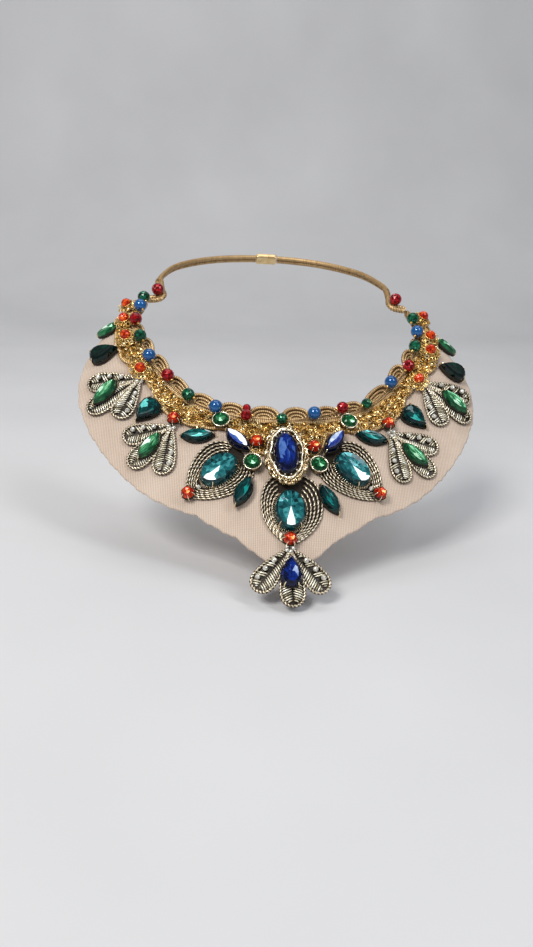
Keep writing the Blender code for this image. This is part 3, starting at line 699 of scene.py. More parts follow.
def plain_gold():
    """Polished light gold with a soft crinkle; its tint paints shade in the hollows and highlights on the
    crests.
    """
    made, tree, principled = shader("polished_gold")
    stops = ((0.20, (0.07, 0.036, 0.012)), (0.48, (0.52, 0.38, 0.20)), (0.75, (0.98, 0.88, 0.66)))
    set_colour(tree, principled, stops, mixed(tree, tint_value(tree), noise(tree, 420.0), 0.42))
    principled.inputs["Metallic"].default_value = 1.0
    set_roughness(tree, principled, 0.12, 0.28, 500.0)
    set_bump(tree, principled, noise(tree, 700.0), 0.4, 0.0004)
    return made


def clasp_gold():
    """Smooth gold for the clasp, whose CAD mesh carries no tints."""
    made, tree, principled = shader("clasp_gold")
    set_colour(tree, principled, ((0.3, (0.62, 0.42, 0.19)), (0.7, (0.86, 0.66, 0.36))), noise(tree, 300.0))
    principled.inputs["Metallic"].default_value = 1.0
    set_roughness(tree, principled, 0.22, 0.36, 500.0)
    return made


def pearl(name, stops):
    made, tree, principled = shader(name)
    set_colour(tree, principled, stops, noise(tree, 180.0))
    set_roughness(tree, principled, 0.10, 0.16, 300.0)
    set_inputs(principled, {"Metallic": 0.2, "Specular IOR Level": 0.3, "Coat Weight": 0.9,
                            "Coat Roughness": 0.04})
    return made


# dark sheet of painted shade, laid under the medallions' rows of cord and used for the stones' cups
def painted_shade_sheet():
    made, tree, principled = shader("painted_shade_sheet")
    stops = ((0.3, (0.006, 0.004, 0.002)), (0.7, (0.030, 0.018, 0.009)))
    set_colour(tree, principled, stops, noise(tree, 1200.0))
    principled.inputs["Roughness"].default_value = 0.9
    set_bump(tree, principled, noise(tree, 2400.0), 0.6, 0.0003)
    return made


def stops_of(colours):
    """Stops of a colour ramp, evenly spaced from dark to light."""
    places = np.linspace(0.08, 0.92, len(colours))
    return tuple((float(place), colour) for place, colour in zip(places, colours))


# look: material, metallic, roughness from and to, bump, colours from dark to light; tints pick painted shade
# at the dark end and painted highlights at the light end
METALS = {
    "lace": ("lace_cord", 0.5, (0.3, 0.5), 0.4,
             ((0.07, 0.03, 0.008), (0.52, 0.32, 0.13), (0.98, 0.76, 0.45))),
    "gold": ("gold_thread", 0.75, (0.16, 0.36), 0.3,
             ((0.045, 0.016, 0.003), (0.42, 0.22, 0.045), (0.92, 0.62, 0.20), (1.0, 0.90, 0.58))),
    "antique": ("antique_cord", 0.55, (0.2, 0.4), 0.3,
                ((0.003, 0.002, 0.001), (0.12, 0.085, 0.048), (0.76, 0.65, 0.47), (1.0, 0.95, 0.84))),
    "bullion": ("silver_bullion", 0.55, (0.2, 0.4), 0.4,
                ((0.006, 0.004, 0.002), (0.22, 0.18, 0.11), (0.82, 0.75, 0.57), (1.0, 0.98, 0.88))),
}
# look: material, metallic, colours from dark to light; tints pick painted shade at the dark end and the
# painted flash at the light end
GLASSES = {
    "teal": ("glass_teal", 0.25, ((0.0, 0.010, 0.013), (0.002, 0.045, 0.053), (0.012, 0.150, 0.165),
                                  (0.10, 0.48, 0.50), (0.92, 1.0, 1.0))),
    "deep_teal": ("glass_deep_teal", 0.25, ((0.0, 0.005, 0.006), (0.0, 0.024, 0.026), (0.001, 0.080, 0.078),
                                            (0.006, 0.34, 0.31), (0.30, 0.95, 0.88))),
    "dark_green": ("glass_dark_green", 0.25, ((0.0, 0.004, 0.003), (0.001, 0.014, 0.010),
                                              (0.004, 0.05, 0.035), (0.03, 0.20, 0.14))),
    "green": ("glass_green", 0.25, ((0.0, 0.010, 0.003), (0.001, 0.040, 0.011), (0.003, 0.12, 0.032),
                                    (0.05, 0.50, 0.16), (0.65, 1.0, 0.75))),
    "light_green": ("glass_light_green", 0.25, ((0.002, 0.028, 0.010), (0.008, 0.085, 0.032),
                                                (0.030, 0.22, 0.085), (0.19, 0.58, 0.28),
                                                (0.85, 1.0, 0.88))),
    "blue": ("glass_blue", 0.25, ((0.0, 0.001, 0.010), (0.001, 0.006, 0.055), (0.002, 0.026, 0.27),
                                  (0.10, 0.22, 0.56), (0.90, 0.96, 1.0))),
    "orange": ("glass_orange", 0.2, ((0.07, 0.001, 0.0), (0.30, 0.007, 0.0), (0.66, 0.036, 0.001),
                                     (0.98, 0.18, 0.006), (1.0, 0.72, 0.28))),
    "red": ("glass_red", 0.25, ((0.02, 0.0, 0.0), (0.10, 0.0, 0.002), (0.27, 0.001, 0.004),
                                (0.60, 0.010, 0.018), (1.0, 0.50, 0.48))),
    "bead_green": ("bead_green", 0.25, ((0.0, 0.006, 0.003), (0.0, 0.022, 0.010), (0.001, 0.080, 0.036),
                                        (0.012, 0.24, 0.12), (0.35, 0.85, 0.55))),
    "crystal": ("clear_crystal", 0.3, ((0.14, 0.13, 0.10), (0.50, 0.48, 0.41), (0.90, 0.88, 0.81),
                                       (1.0, 1.0, 0.98))),
}
LOOKS = {
    "net": net_fabric(),
    "shade_underlay": painted_shade_sheet(),
    "polished": plain_gold(),
    "clasp": clasp_gold(),
    "blue_pearl": pearl("blue_pearl", stops_of(((0.0003, 0.045, 0.16), (0.001, 0.12, 0.38)))),
}
for look, (name, metallic, rough, bump, colours) in METALS.items():
    LOOKS[look] = metal_thread(name, stops_of(colours), metallic, rough, bump)
for look, (name, metallic, colours) in GLASSES.items():
    LOOKS[look] = cut_glass(name, stops_of(colours), metallic)


# the net

NET_COLUMNS = 281
NET_ROWS = 61
NET_INSET = 0.0009
PUCKER = 0.00018
# size, pace and phase of the waves of the cut edge
EDGE_WAVES = ((0.00022, 950.0, 0.0), (0.00018, 2300.0, 1.0))


def build_net():
    """The shaped net, thin and a little wavy at its cut edge."""
    along = np.linspace(-BIB_HALF, BIB_HALF, NET_COLUMNS)[:, None]
    share = np.linspace(0.0, 1.0, NET_ROWS)[None, :]
    inner = neck_edge(along) + NET_INSET
    wave = sum(size * np.sin(along * pace + phase) for size, pace, phase in EDGE_WAVES)
    outer = edge_line(NET_EDGE, along, BIB_DEPTH) + wave
    out = inner + (outer - inner) * share
    pucker = PUCKER * share**3 * np.sin(along * 420.0 + 2.0 * share)
    high, _ = on_form(along, out, NET_TOP + pucker)
    low, _ = on_form(along, out, NET_BOTTOM + pucker)
    shape = Shape()
    slab(shape, low, high)
    net = shape.make("net_sheet", ["net"], ["net"])


# lace: concentric wrapped cords in arches

LACE_INSET = 0.0002
ARCH_FOOT = 0.0016
SHEET_FOOT = 0.0022
# share of the arch's span and height, cord radius, height over the trim's base
ARCH_CORDS = (
    (0.86, 0.96, 0.00082, 0.0010),
    (0.61, 0.64, 0.00055, 0.0009),
    (0.40, 0.36, 0.00050, 0.0008),
    (0.20, 0.12, 0.00042, 0.0006),
)
# length out from the neck edge, cord radius
FOOT_CORDS = ((0.0017, 0.00055), (0.0029, 0.00060))


def build_arch(shape, start, stop):
    """Cords in an arch between two edge beads, over a dark sheet of painted shade."""
    middle, half = (start + stop) / 2, (stop - start) / 2
    height = ARCH_HEIGHT * min(1.0, (stop - start) / (3 * ARCH_HEIGHT))
    t = np.linspace(0.0, math.pi, 60)
    for span, rise, radius, lift in ARCH_CORDS:
        along = middle - half * span * np.cos(t)
        out = neck_edge(along) + ARCH_FOOT - (height + ARCH_FOOT) * rise * np.sin(t) ** 0.75
        points, normals = on_form(along, out, TRIM_BASE + lift)
        wrapped(shape, points, normals, radius)
    reach = np.linspace(-1, 1, 15)[:, None]
    along = middle + half * 0.80 * reach
    rise = height * 0.86 * np.sqrt(np.clip(1 - reach**2, 0, 1))
    share = np.linspace(0, 1, 5)[None, :]
    out = neck_edge(along) + SHEET_FOOT - (rise + SHEET_FOOT) * (1 - share)
    top, _ = on_form(along, out, TRIM_BASE + 0.0006)
    bottom, _ = on_form(along, out, TRIM_BASE - 0.0002)
    # low tint: painted shade under the arch's cords
    slab(shape, bottom, top, 0, 0.12)


def build_lace():
    shape = Shape()
    line = np.linspace(-LACE_END, LACE_END, 500)
    low_in = neck_edge(line) + LACE_INSET
    ground = low_in[:, None] + (LACE_WIDTH - LACE_INSET) * np.linspace(0, 1, 5)[None, :]
    low, _ = on_form(line[:, None], ground, TRIM_BASE - GAP)
    high, _ = on_form(line[:, None], ground, TRIM_BASE + 0.0004)
    # low tint: painted shade under the lace's cords
    slab(shape, low, high, 0, 0.22)
    dips = [row[0] * BIB_HALF for row in EDGE_BEADS_LEFT + EDGE_BEADS_RIGHT]
    for start, stop in zip(dips, dips[1:]):
        build_arch(shape, start, stop)
    for offset, radius in FOOT_CORDS:
        points, normals = on_form(line, neck_edge(line) + offset, TRIM_BASE + 0.0008)
        wrapped(shape, points, normals, radius)
    shape.make("lace_scallops", ["lace"], ["gold_lace"])


# gold field: loops of bright thread over a dark ground of painted shade

FIELD_LOOPS = 1900
LOOP_SIDES = 9
LUMP = 0.0004
LUMP_PACE = 900
SCROLL_STEP = 0.0088
# share of the field's depth, swing of the scrolls, cord radius
SCROLL_CORDS = ((0.0, 0.0004, 0.00055), (1.0, -0.0013, 0.00072))


def field_bounds(along):
    inner = neck_edge(along) + LACE_WIDTH + GAP
    return inner, np.maximum(edge_line(FIELD_EDGE, along, BIB_DEPTH), inner + LACE_WIDTH)


def add_loop(shape, along):
    """One small loop of thread, tilted and placed by chance across the field."""
    along = along + chance.normal(0, 0.0008)
    low_out, high_out = (float(v) for v in field_bounds(np.array(along)))
    place = low_out + (high_out - low_out) * chance.uniform(0.03, 0.97)
    height = TRIM_BASE + chance.uniform(0.0007, 0.0016) + LUMP * math.sin(along * LUMP_PACE)
    centre, normal = on_form(along, place, height)
    tilt = unit(normal + chance.normal(0, 0.42, 3))
    first = unit(np.cross(tilt, chance.normal(0, 1, 3)))
    second = np.cross(tilt, first)
    radius = chance.uniform(0.0005, 0.0011)
    long = chance.uniform(0.75, 1.35)
    t = angles_of(LOOP_SIDES)
    wobble = 1 + 0.15 * np.sin(2 * t + chance.uniform(0, FULL))
    flat = (long * wobble * np.cos(t))[:, None] * first + (wobble * np.sin(t))[:, None] * second
    thick = chance.uniform(0.00018, 0.00027)
    tint = chance.uniform(0.0, 1.0) ** 0.8
    tube(shape, centre + radius * flat, np.tile(tilt, (LOOP_SIDES, 1)), thick, 4, True, 0, tint, False)


def build_field():
    shape = Shape()
    line = np.linspace(-FIELD_END, FIELD_END, 420)
    inner, outer = field_bounds(line)
    out = inner[:, None] + (outer - inner)[:, None] * np.linspace(0, 1, 9)[None, :]
    ripple = 0.0002 * np.sin(line * 2600)[:, None] * np.sin(out * 2100)
    lump = LUMP * np.sin(line * LUMP_PACE)[:, None] + ripple
    high, _ = on_form(line[:, None], out, TRIM_BASE + 0.0007 + lump)
    low, _ = on_form(line[:, None], out, TRIM_BASE - GAP)
    # low tint: painted shade under the loops
    slab(shape, low, high, 0, 0.22)
    depth = outer - inner
    for along in np.interp(np.linspace(0, 1, FIELD_LOOPS), np.cumsum(depth) / np.sum(depth), line):
        add_loop(shape, along)
    scroll = np.abs(np.sin(line * math.pi / SCROLL_STEP)) ** 0.7
    for share, swing, radius in SCROLL_CORDS:
        edge = inner + (outer - inner) * share + swing * (1 - scroll)
        points, normals = on_form(line, edge, TRIM_BASE + 0.0009)
        wrapped(shape, points, normals, radius, 1)
    shape.make("gold_loops", ["gold", "lace"], ["gold_field"])


# medallions: rows of twisted cord round the large ovals

MEDALLION_ROWS = 5
ROW_STEP = 0.235
ROW_START = -0.03
ROW_CORD = 0.00043
ROOT_FULLNESS = 0.25
STONE_MARGIN = 0.0008
GALLERY_TICKS = 56
TICK_REACH = 0.0004


def teardrop(t, pinch=1.0):
    fine = np.linspace(0.0, math.pi, 181)
    widest = np.max(np.sin(fine) * np.sin(fine / 2) ** pinch)
    return np.cos(t), np.sin(t) * np.abs(np.sin(t / 2)) ** pinch / widest


def stone_patch(name):
    """The patch of a stone of STONES."""
    along, out, turn = next(row[2:5] for row in STONES if row[0] == name)
    return Patch(*lengths_of(along, out), turn)


def medallion_line(t, share, tip, root, half):
    """A line round the stone between the oval (share 0) and the teardrop (share 1)."""
    ix, iy = teardrop(t, 0.25)
    ox, oy = teardrop(t, 0.52)
    fuller = np.where(ix < 0, np.maximum(np.abs(np.sin(t)), 0.05) ** -ROOT_FULLNESS, 1.0)
    iy, oy = iy * fuller, oy * fuller
    inner_half, inner_long = OVAL[1] / 2 + STONE_MARGIN, OVAL[0] / 2 + STONE_MARGIN
    start_x = ix * np.where(ix > 0, inner_long * 1.22, inner_long)
    start_y = iy * inner_half
    end_x = ox * np.where(ox > 0, tip, root)
    end_y = oy * np.where(oy > 0, half[1], half[0])
    return start_x + (end_x - start_x) * share, start_y + (end_y - start_y) * share


def add_gallery(shape, patch):
    """Short gold ticks round an oval's foot."""
    reach = np.array([OVAL[0] / 2 + TICK_REACH, OVAL[1] / 2 + TICK_REACH])
    across = np.array([reach - 0.0005, reach, reach + 0.0002])
    lift = TRIM_BASE + np.array([0.0019, 0.0017, 0.0008])
    for t in np.linspace(0.0, FULL, GALLERY_TICKS, endpoint=False):
        points, normals = patch.drop(across[:, 0] * math.cos(t), across[:, 1] * math.sin(t), lift)
        tube(shape, points, normals, 0.00017, 5, False, 2, 0.9)


def build_medallion(name, stone, tip, root, half):
    patch = stone_patch(stone)
    shape = Shape()
    t = np.linspace(0.0, FULL, 121)[:, None]
    share = np.linspace(-0.40, 0.95, 7)[None, :]
    x, y = medallion_line(t, share, tip, root, half)
    high, _ = patch.drop(x, y, TRIM_BASE)
    low, _ = patch.drop(x, y, TRIM_BASE - GAP)
    # dark sheet of painted shade under the rows of cord
    slab(shape, high, low, 1)
    for k in range(MEDALLION_ROWS):
        end = math.pi - (0.50 - 0.05 * k)
        t = np.linspace(-end, end, 240)
        x, y = medallion_line(t, ROW_STEP * k + ROW_START, tip, root, half)
        lift = 0.0001 * np.sin(t * 23.0 + k)
        points, normals = patch.drop(x, y, TRIM_BASE + 0.00052 + lift)
        rope(shape, points, normals, ROW_CORD, lay=0.0042, depth=0.26, low=0.0)
    crystal(shape, patch.drop(OVAL[0] / 2 + 0.0021, 0.0, TRIM_BASE + 0.0013), 0.0010, 3)
    add_gallery(shape, patch)
    shape.make(name + "_cords", ["antique", "shade_underlay", "polished", "crystal"], [name])


# fans: petals outlined in cord and filled with crossbars of bullion and small crystals

PETAL_HALF = 0.0046
PETAL_CORD = 0.00055
BAR_PITCH = 0.00100
BAR_RADIUS = 0.00034
BAR_TAPER = np.array([0.55, 0.95, 1.0, 1.0, 0.95, 0.55])
BAR_START = 0.0004
BAR_MARGIN = 0.0006
SHORTEST_BAR = 0.0009
CRYSTAL_PLACES = (0.36, 0.58, 0.79)
CRYSTAL_ROOM = 0.0012
CRYSTAL_RADIUS = 0.00115
KNOT_REACH = 0.0014


def petal_width(s):
    """Half width of a petal at a share of its length."""
    return PETAL_HALF / 0.700 * np.clip(s, 0, 1) ** 0.75 * np.sqrt(np.clip(1 - np.clip(s, 0, 1) ** 5, 0, 1))


def petal_place(patch, turn, along_petal, across_petal, height):
    c, s = math.cos(math.radians(turn)), math.sin(math.radians(turn))
    return patch.drop(along_petal * c - across_petal * s, along_petal * s + across_petal * c, height)


def add_bars(shape, patch, length, turn, crystal_side, stone):
    """Crossbars of bullion on both sides of a petal, with room left for its crystals."""
    w = np.linspace(0.0, 1.0, 6)
    rise = TRIM_BASE + 0.0008 + 0.0005 * np.sin(w * math.pi)
    for side in (-1, 1):
        for u in np.arange(0.12 * length, 0.96 * length, BAR_PITCH):
            near = min(abs(u / length + 0.05 - p) for p in CRYSTAL_PLACES) * length
            if side == crystal_side and not stone and near < CRYSTAL_ROOM:
                continue
            reach = petal_width((u + 0.0016) / length) - BAR_MARGIN
            if reach < SHORTEST_BAR:
                continue
            across = BAR_START + (reach - BAR_START) * w
            points, normals = petal_place(patch, turn, u + 0.45 * across, side * across, rise)
            tube(shape, points, normals, BAR_RADIUS * BAR_TAPER, 6, False, 1, chance.uniform(0.35, 1.0))


def build_petal(shape, patch, length, turn, crystal_side, stone):
    s = np.sin(np.linspace(0.03, 1.0, 40) * math.pi / 2)
    x = np.concatenate([s, s[::-1][1:]]) * length
    y = np.concatenate([-petal_width(s), petal_width(s[::-1][1:])])
    points, normals = petal_place(patch, turn, x, y, TRIM_BASE + 0.0009)
    rope(shape, points, normals, PETAL_CORD, lay=0.0028, depth=0.28)
    share = np.linspace(-1, 1, 9)[:, None]
    lengths = np.sin(np.linspace(0.02, 1.0, 26) * math.pi / 2)[None, :]
    plate_x = lengths * length + 0 * share
    plate_y = share * petal_width(lengths)
    high, _ = petal_place(patch, turn, plate_x, plate_y, TRIM_BASE + 0.0004)
    low, _ = petal_place(patch, turn, plate_x, plate_y, TRIM_BASE - GAP)
    # darkest tint: painted shade between the crossbars
    slab(shape, high, low, 0, 0.0)
    add_bars(shape, patch, length, turn, crystal_side, stone)
    if stone:
        return
    for p in CRYSTAL_PLACES:
        across = crystal_side * 0.56 * float(petal_width(p))
        place = petal_place(patch, turn, p * length, across, TRIM_BASE + 0.0015)
        crystal(shape, place, CRYSTAL_RADIUS, 2)


def build_fan(name, along, out, petals):
    patch = Patch(*lengths_of(along, out))
    shape = Shape()
    middle = sorted(turn for _, turn in petals)[1]
    for length, turn in petals:
        build_petal(shape, patch, length, turn, 1 if turn > middle else -1, turn == middle)
    for turn in np.linspace(0, FULL, 5, endpoint=False):
        x, y = KNOT_REACH * math.cos(turn), KNOT_REACH * math.sin(turn)
        crystal(shape, patch.drop(x, y, TRIM_BASE + 0.0014), 0.0009, 2)
    shape.make(name + "_petals", ["antique", "bullion", "crystal"], [name])


# the centre stone's frame

NUGGETS = 34
GLINTS = 14
FRAME_STEPS = 300
CORD_SIDES = 10
WAIST = math.radians(246)
# reach over the stone's half sizes, height over the field
FRAME_PLATE = ((0.0004, 0.0), (0.0004, 0.0020), (0.0010, 0.0018), (0.0030, 0.0010), (0.0034, 0.0002))


def ring_path(patch, reach, lift):
    """A closed line round the centre stone at a reach over its half sizes and a height over the field."""
    t = np.linspace(0.0, FULL, len(reach), endpoint=False)
    length, width, _ = CENTRE_STONE
    flat = np.stack([np.cos(t) * (length / 2 + reach * 1.15), np.sin(t) * (width / 2 + reach)], -1)
    return patch.place(np.concatenate([flat, lift[:, None]], axis=1), FIELD_SEAT)


def hump(t, middle, width):
    """A smooth hump of height 1 round an angle."""
    away = (t - middle + math.pi) % FULL - math.pi
    return np.exp(-((away / width) ** 2))


def add_nuggets(shape, patch):
    """Small lumps of gold on the outer rim, by chance, and crystals close round the stone."""
    length, width, _ = CENTRE_STONE
    for _ in range(NUGGETS):
        a = chance.uniform(0.25, 2.9)
        reach = chance.uniform(0.0024, 0.0040)
        lift = chance.uniform(0.0012, 0.0024)
        flat = np.array([math.cos(a) * (length / 2 + reach * 1.1), math.sin(a) * (width / 2 + reach), lift])
        ball(shape, patch.place(flat, FIELD_SEAT), chance.uniform(0.0004, 0.0007), patch.normal, 8, 6, 0)
    for k in range(GLINTS):
        a = FULL * (k + 0.5) / GLINTS
        flat = np.array([math.cos(a) * (length / 2 + 0.0005), math.sin(a) * (width / 2 + 0.0004), 0.0027])
        ball(shape, patch.place(flat, FIELD_SEAT), 0.00042, patch.normal, 7, 5, 2)


def build_frame():
    """Crinkled gold frame: a plate, a waisted inner rim, a twisted cord, a knotted cord and nuggets."""
    patch = stone_patch("centre_stone")
    shape = Shape()
    t = np.linspace(0.0, FULL, FRAME_STEPS, endpoint=False)
    normals = np.tile(patch.normal, (len(t), 1))
    plate = [ring_path(patch, np.full(len(t), reach), np.full(len(t), lift)) for reach, lift in FRAME_PLATE]
    # low tint: painted shade on the plate between the rim and the stone
    shape.add(np.stack(plate, axis=1), ring_faces(len(t), len(plate), True)[:, ::-1], 1, 0.05)
    reach = 0.0014 + 0.00025 * np.sin(3 * t + 1.0) + 0.0002 * np.sin(8 * t) - 0.0008 * hump(t, WAIST, 0.3)
    lift = 0.0026 + 0.0003 * np.sin(5 * t) + 0.0005 * hump(t, math.pi, 0.5)
    crinkle = 1 + 0.18 * np.sin(6 * t + 1.0) + 0.12 * np.sin(17 * t)
    thick = 0.00056 * crinkle + 0.00055 * hump(t, math.pi, 0.45)
    tube(shape, ring_path(patch, reach, lift), normals, thick, CORD_SIDES, True, 0, 0.85)
    cord = ring_path(patch, 0.0024 + 0.0002 * np.sin(9 * t), np.full(len(t), 0.0017))
    rope(shape, cord, normals, 0.00055, lay=0.0034, depth=0.35, closed=True)
    reach = 0.0033 + 0.0003 * np.sin(5 * t + 0.8) + 0.00025 * np.sin(14 * t) - 0.0006 * hump(t, WAIST, 0.35)
    lift = 0.0014 + 0.00035 * np.sin(11 * t + 1.0)
    knots = (np.abs(np.sin(10.5 * t)) ** 0.6)[:, None]
    crinkle = np.cos(2 * angles_of(CORD_SIDES)[None, :] + 21 * t[:, None]) * 0.22
    thick = (0.00058 + 0.00030 * knots) * (1 + crinkle)
    # painted highlights on the knots and crests of the cord, painted shade between them
    tint = 0.02 + 0.55 * np.repeat(knots, CORD_SIDES, axis=1) + 1.5 * crinkle
    tube(shape, ring_path(patch, reach, lift), normals, thick, CORD_SIDES, True, 0, tint)
    add_nuggets(shape, patch)
    shape.make("crinkled_frame", ["polished", "lace", "crystal"], ["centre_frame"])


# stones

def ellipse(t):
    return np.cos(t), np.sin(t)


def navette(t, slim=0.47):
    radius = (1 + slim**2) / (2 * slim)
    rise = np.sqrt(radius**2 - np.cos(t) ** 2) - (radius - slim)
    return np.cos(t), np.sign(np.round(np.sin(t), 6)) * rise / slim


# cut: outline, size, facets round the girdle, share of the table, angles of the claws (deg)
CUTS = {
    "centre": (ellipse, CENTRE_STONE, 18, 0.62, ()),
    "oval": (ellipse, OVAL, 20, 0.82, (42, -42, 138, -138)),
    "navette": (navette, NAVETTE, 12, 0.60, (0, 180)),
    "small_navette": (navette, SMALL_NAVETTE, 10, 0.60, (0, 180)),
    "pear": (teardrop, PEAR, 14, 0.66, (0, 150, -150)),
    "blue_pear": (teardrop, BLUE_PEAR, 14, 0.56, (0, 150, -150)),
    "bezel": (ellipse, BEZEL, 16, 0.58, ()),
    "chaton": (ellipse, CHATON, 12, 0.50, (0, 60, 120, 180, 240, 300)),
}
STONE_LOOKS = (
    ("oval", "teal", "stone_teal"),
    ("centre", "blue", "stone_blue"),
    ("pear_blue", "blue", "stone_blue"),
    ("navette_blue", "blue", "stone_blue"),
    ("pear_dark", "dark_green", "stone_dark_green"),
    ("navette_fan", "light_green", "stone_light_green"),
    ("navette_small", "light_green", "stone_green"),
    ("bezel", "green", "stone_green"),
    ("chaton", "orange", "stone_orange"),
    ("navette_teal", "deep_teal", "stone_deep_teal"),
    ("pear_teal", "deep_teal", "stone_deep_teal"),
)


def stone_ring(outline, size, count, scale, level, shift):
    """A ring of a stone: its outline drawn in to a scale, at a share of the height."""
    x, y = outline((np.arange(count) + shift) * FULL / count)
    length, width, height = size
    inset = (1 - scale) * width / 2
    return np.stack([x * (length / 2 - inset), y * (width / 2 - inset), np.full(count, level * height)], -1)


def zigzag(count, low, high, shifted):
    """Triangles between two rings of count points, the second turned by half a step."""
    j = np.arange(count)
    k = (j + 1) % count
    apex = high + (j if shifted else k)
    first = np.stack([low + j, low + k, apex], -1)
    second = np.stack([low + (k if shifted else j), high + k, high + j], -1)
    return np.concatenate([first, second])


# stone: angle and half width of its painted flash (deg), tints of the painted flash and of the rest
PAINTED_FLASHES = {
    "oval_left": (18, 20, 1.12, 0.45),
    "oval_right": (-10, 22, 1.12, 0.45),
    "oval_lower": (2, 20, 1.12, 0.43),
    "centre_stone": (-95, 55, 0.70, 0.44),
    "navette_blue_left": (100, 112, 1.14, 0.56),
    "navette_blue_right": (-95, 80, 0.90, 0.46),
    "navette_teal_left_upper": (80, 34, 0.90, 0.40),
    "navette_teal_right_upper": (-90, 34, 0.82, 0.38),
    "navette_teal_left_lower": (80, 28, 0.68, 0.32),
    "navette_teal_right_lower": (-60, 28, 0.66, 0.32),
    "pear_teal_left": (-85, 40, 0.86, 0.25),
    "pear_teal_right": (-50, 30, 0.80, 0.26),
    "pear_dark_left": (40, 20, 0.50, 0.22),
    "pear_dark_right": (-60, 20, 0.50, 0.22),
    "pear_blue": (-80, 34, 0.84, 0.34),
    "navette_fan_inner_left": (-80, 34, 1.08, 0.48),
    "navette_fan_inner_right": (-60, 26, 0.90, 0.50),
    "navette_fan_outer_left": (-70, 30, 0.90, 0.48),
    "navette_fan_outer_right": (-60, 26, 0.86, 0.50),
    "navette_small_left": (-60, 26, 0.92, 0.36),
    "navette_small_right": (80, 26, 0.92, 0.36),
    "bezel": (-60, 22, 0.90, 0.40),
    "chaton": (-20, 30, 0.90, 0.42),
}
# tints of a stone's crown facets: painted shade on the crown
CROWN_SHADE_TINT = {
    "centre": 0.10, "oval": 0.20, "navette": 0.16, "small_navette": 0.28,
    "pear": 0.12, "blue_pear": 0.16, "bezel": 0.26, "chaton": 0.28,
}
# stones whose table is nearly flat and evenly tinted, so that the painted flash reads as one reflection
# across it
FLAT_TABLES = ("navette_blue", "centre", "pear_blue")


def facet_tints(points, centre, size, painted_flash, spread):
    """Tints of the facets seen through the table: a painted flash on one side, painted paler light beside it,
    painted shade towards the rim, mixed elsewhere.
    """
    angle, half, bright, rest = painted_flash
    flat = points.mean(axis=1) - centre
    turn = np.degrees(np.arctan2(flat[:, 1] / size[1], flat[:, 0] / size[0]))
    away = np.abs((turn - angle + 180) % 360 - 180)
    tints = np.clip(chance.normal(rest, spread, len(points)), 0.06, 0.84)
    # painted paler light beside the painted flash
    near = np.clip(1.0 - (away - half) / 75, 0, 1)
    tints = tints + (0.68 * bright - tints) * 0.55 * near * (0.68 * bright > tints)
    # painted shade towards the rim
    rim = np.hypot(flat[:, 0] / size[0], flat[:, 1] / size[1]) * 2
    tints = tints - 0.44 * np.clip(rim - 0.42, 0, 1)
    return np.where(away < half, bright + chance.normal(0, 0.02, len(points)), tints)


# level (share of the height) and growth over the outline of a stone's cup
CUP = ((0.0, -0.0006), (0.0, 0.0001), (0.22, 0.00016), (0.36, 0.00008), (0.38, -0.0003))
CUP_SIDES = 48
# distance in from the outline, share of the stone's height and radius along a claw
CLAW = (
    (-0.00028, 0.05, 0.00034),
    (-0.00032, 0.42, 0.00034),
    (0.00002, 0.66, 0.00034),
    (0.00050, 0.80, 0.00032),
    (0.00085, 0.88, 0.00020),
)


def add_cup(shape, cut, patch, height):
    """The metal cup that holds a stone, darkened as painted shade under the stone."""
    outline, (length, width, tall), *_ = CUTS[cut]
    x, y = outline(angles_of(CUP_SIDES))
    rings = []
    for level, grow in CUP:
        rim = np.full(CUP_SIDES, level * tall)
        rings.append(np.stack([x * (length / 2 + grow), y * (width / 2 + grow), rim], -1))
    placed = patch.place(np.stack(rings, axis=1).reshape(-1, 3), height)
    faces = ring_faces(CUP_SIDES, len(rings), True)[:, ::-1]
    # dark tint: painted shade under the stone
    shape.add(placed, faces, 1 if cut == "bezel" else 2, 0.12)


def add_claws(shape, cut, patch, height):
    """Claws that rise beside the girdle and bend in over the crown."""
    outline, (length, width, tall), _, _, claws = CUTS[cut]
    size = 0.7 if cut in ("chaton", "small_navette") else 0.9
    for angle in claws:
        cx, cy = (float(v) for v in outline(np.array(math.radians(angle))))
        radial = np.array([cx * length, cy * width]) / math.hypot(cx * length, cy * width)
        edge = np.array([cx * length / 2, cy * width / 2])
        line = patch.place([(*(edge - radial * inward), level * tall) for inward, level, _ in CLAW], height)
        side = np.tile(np.cross(patch.normal, line[-1] - line[0]), (len(line), 1))
        tube(shape, line, unit(side), size * np.array([row[2] for row in CLAW]), 7, False, 1, 0.8)


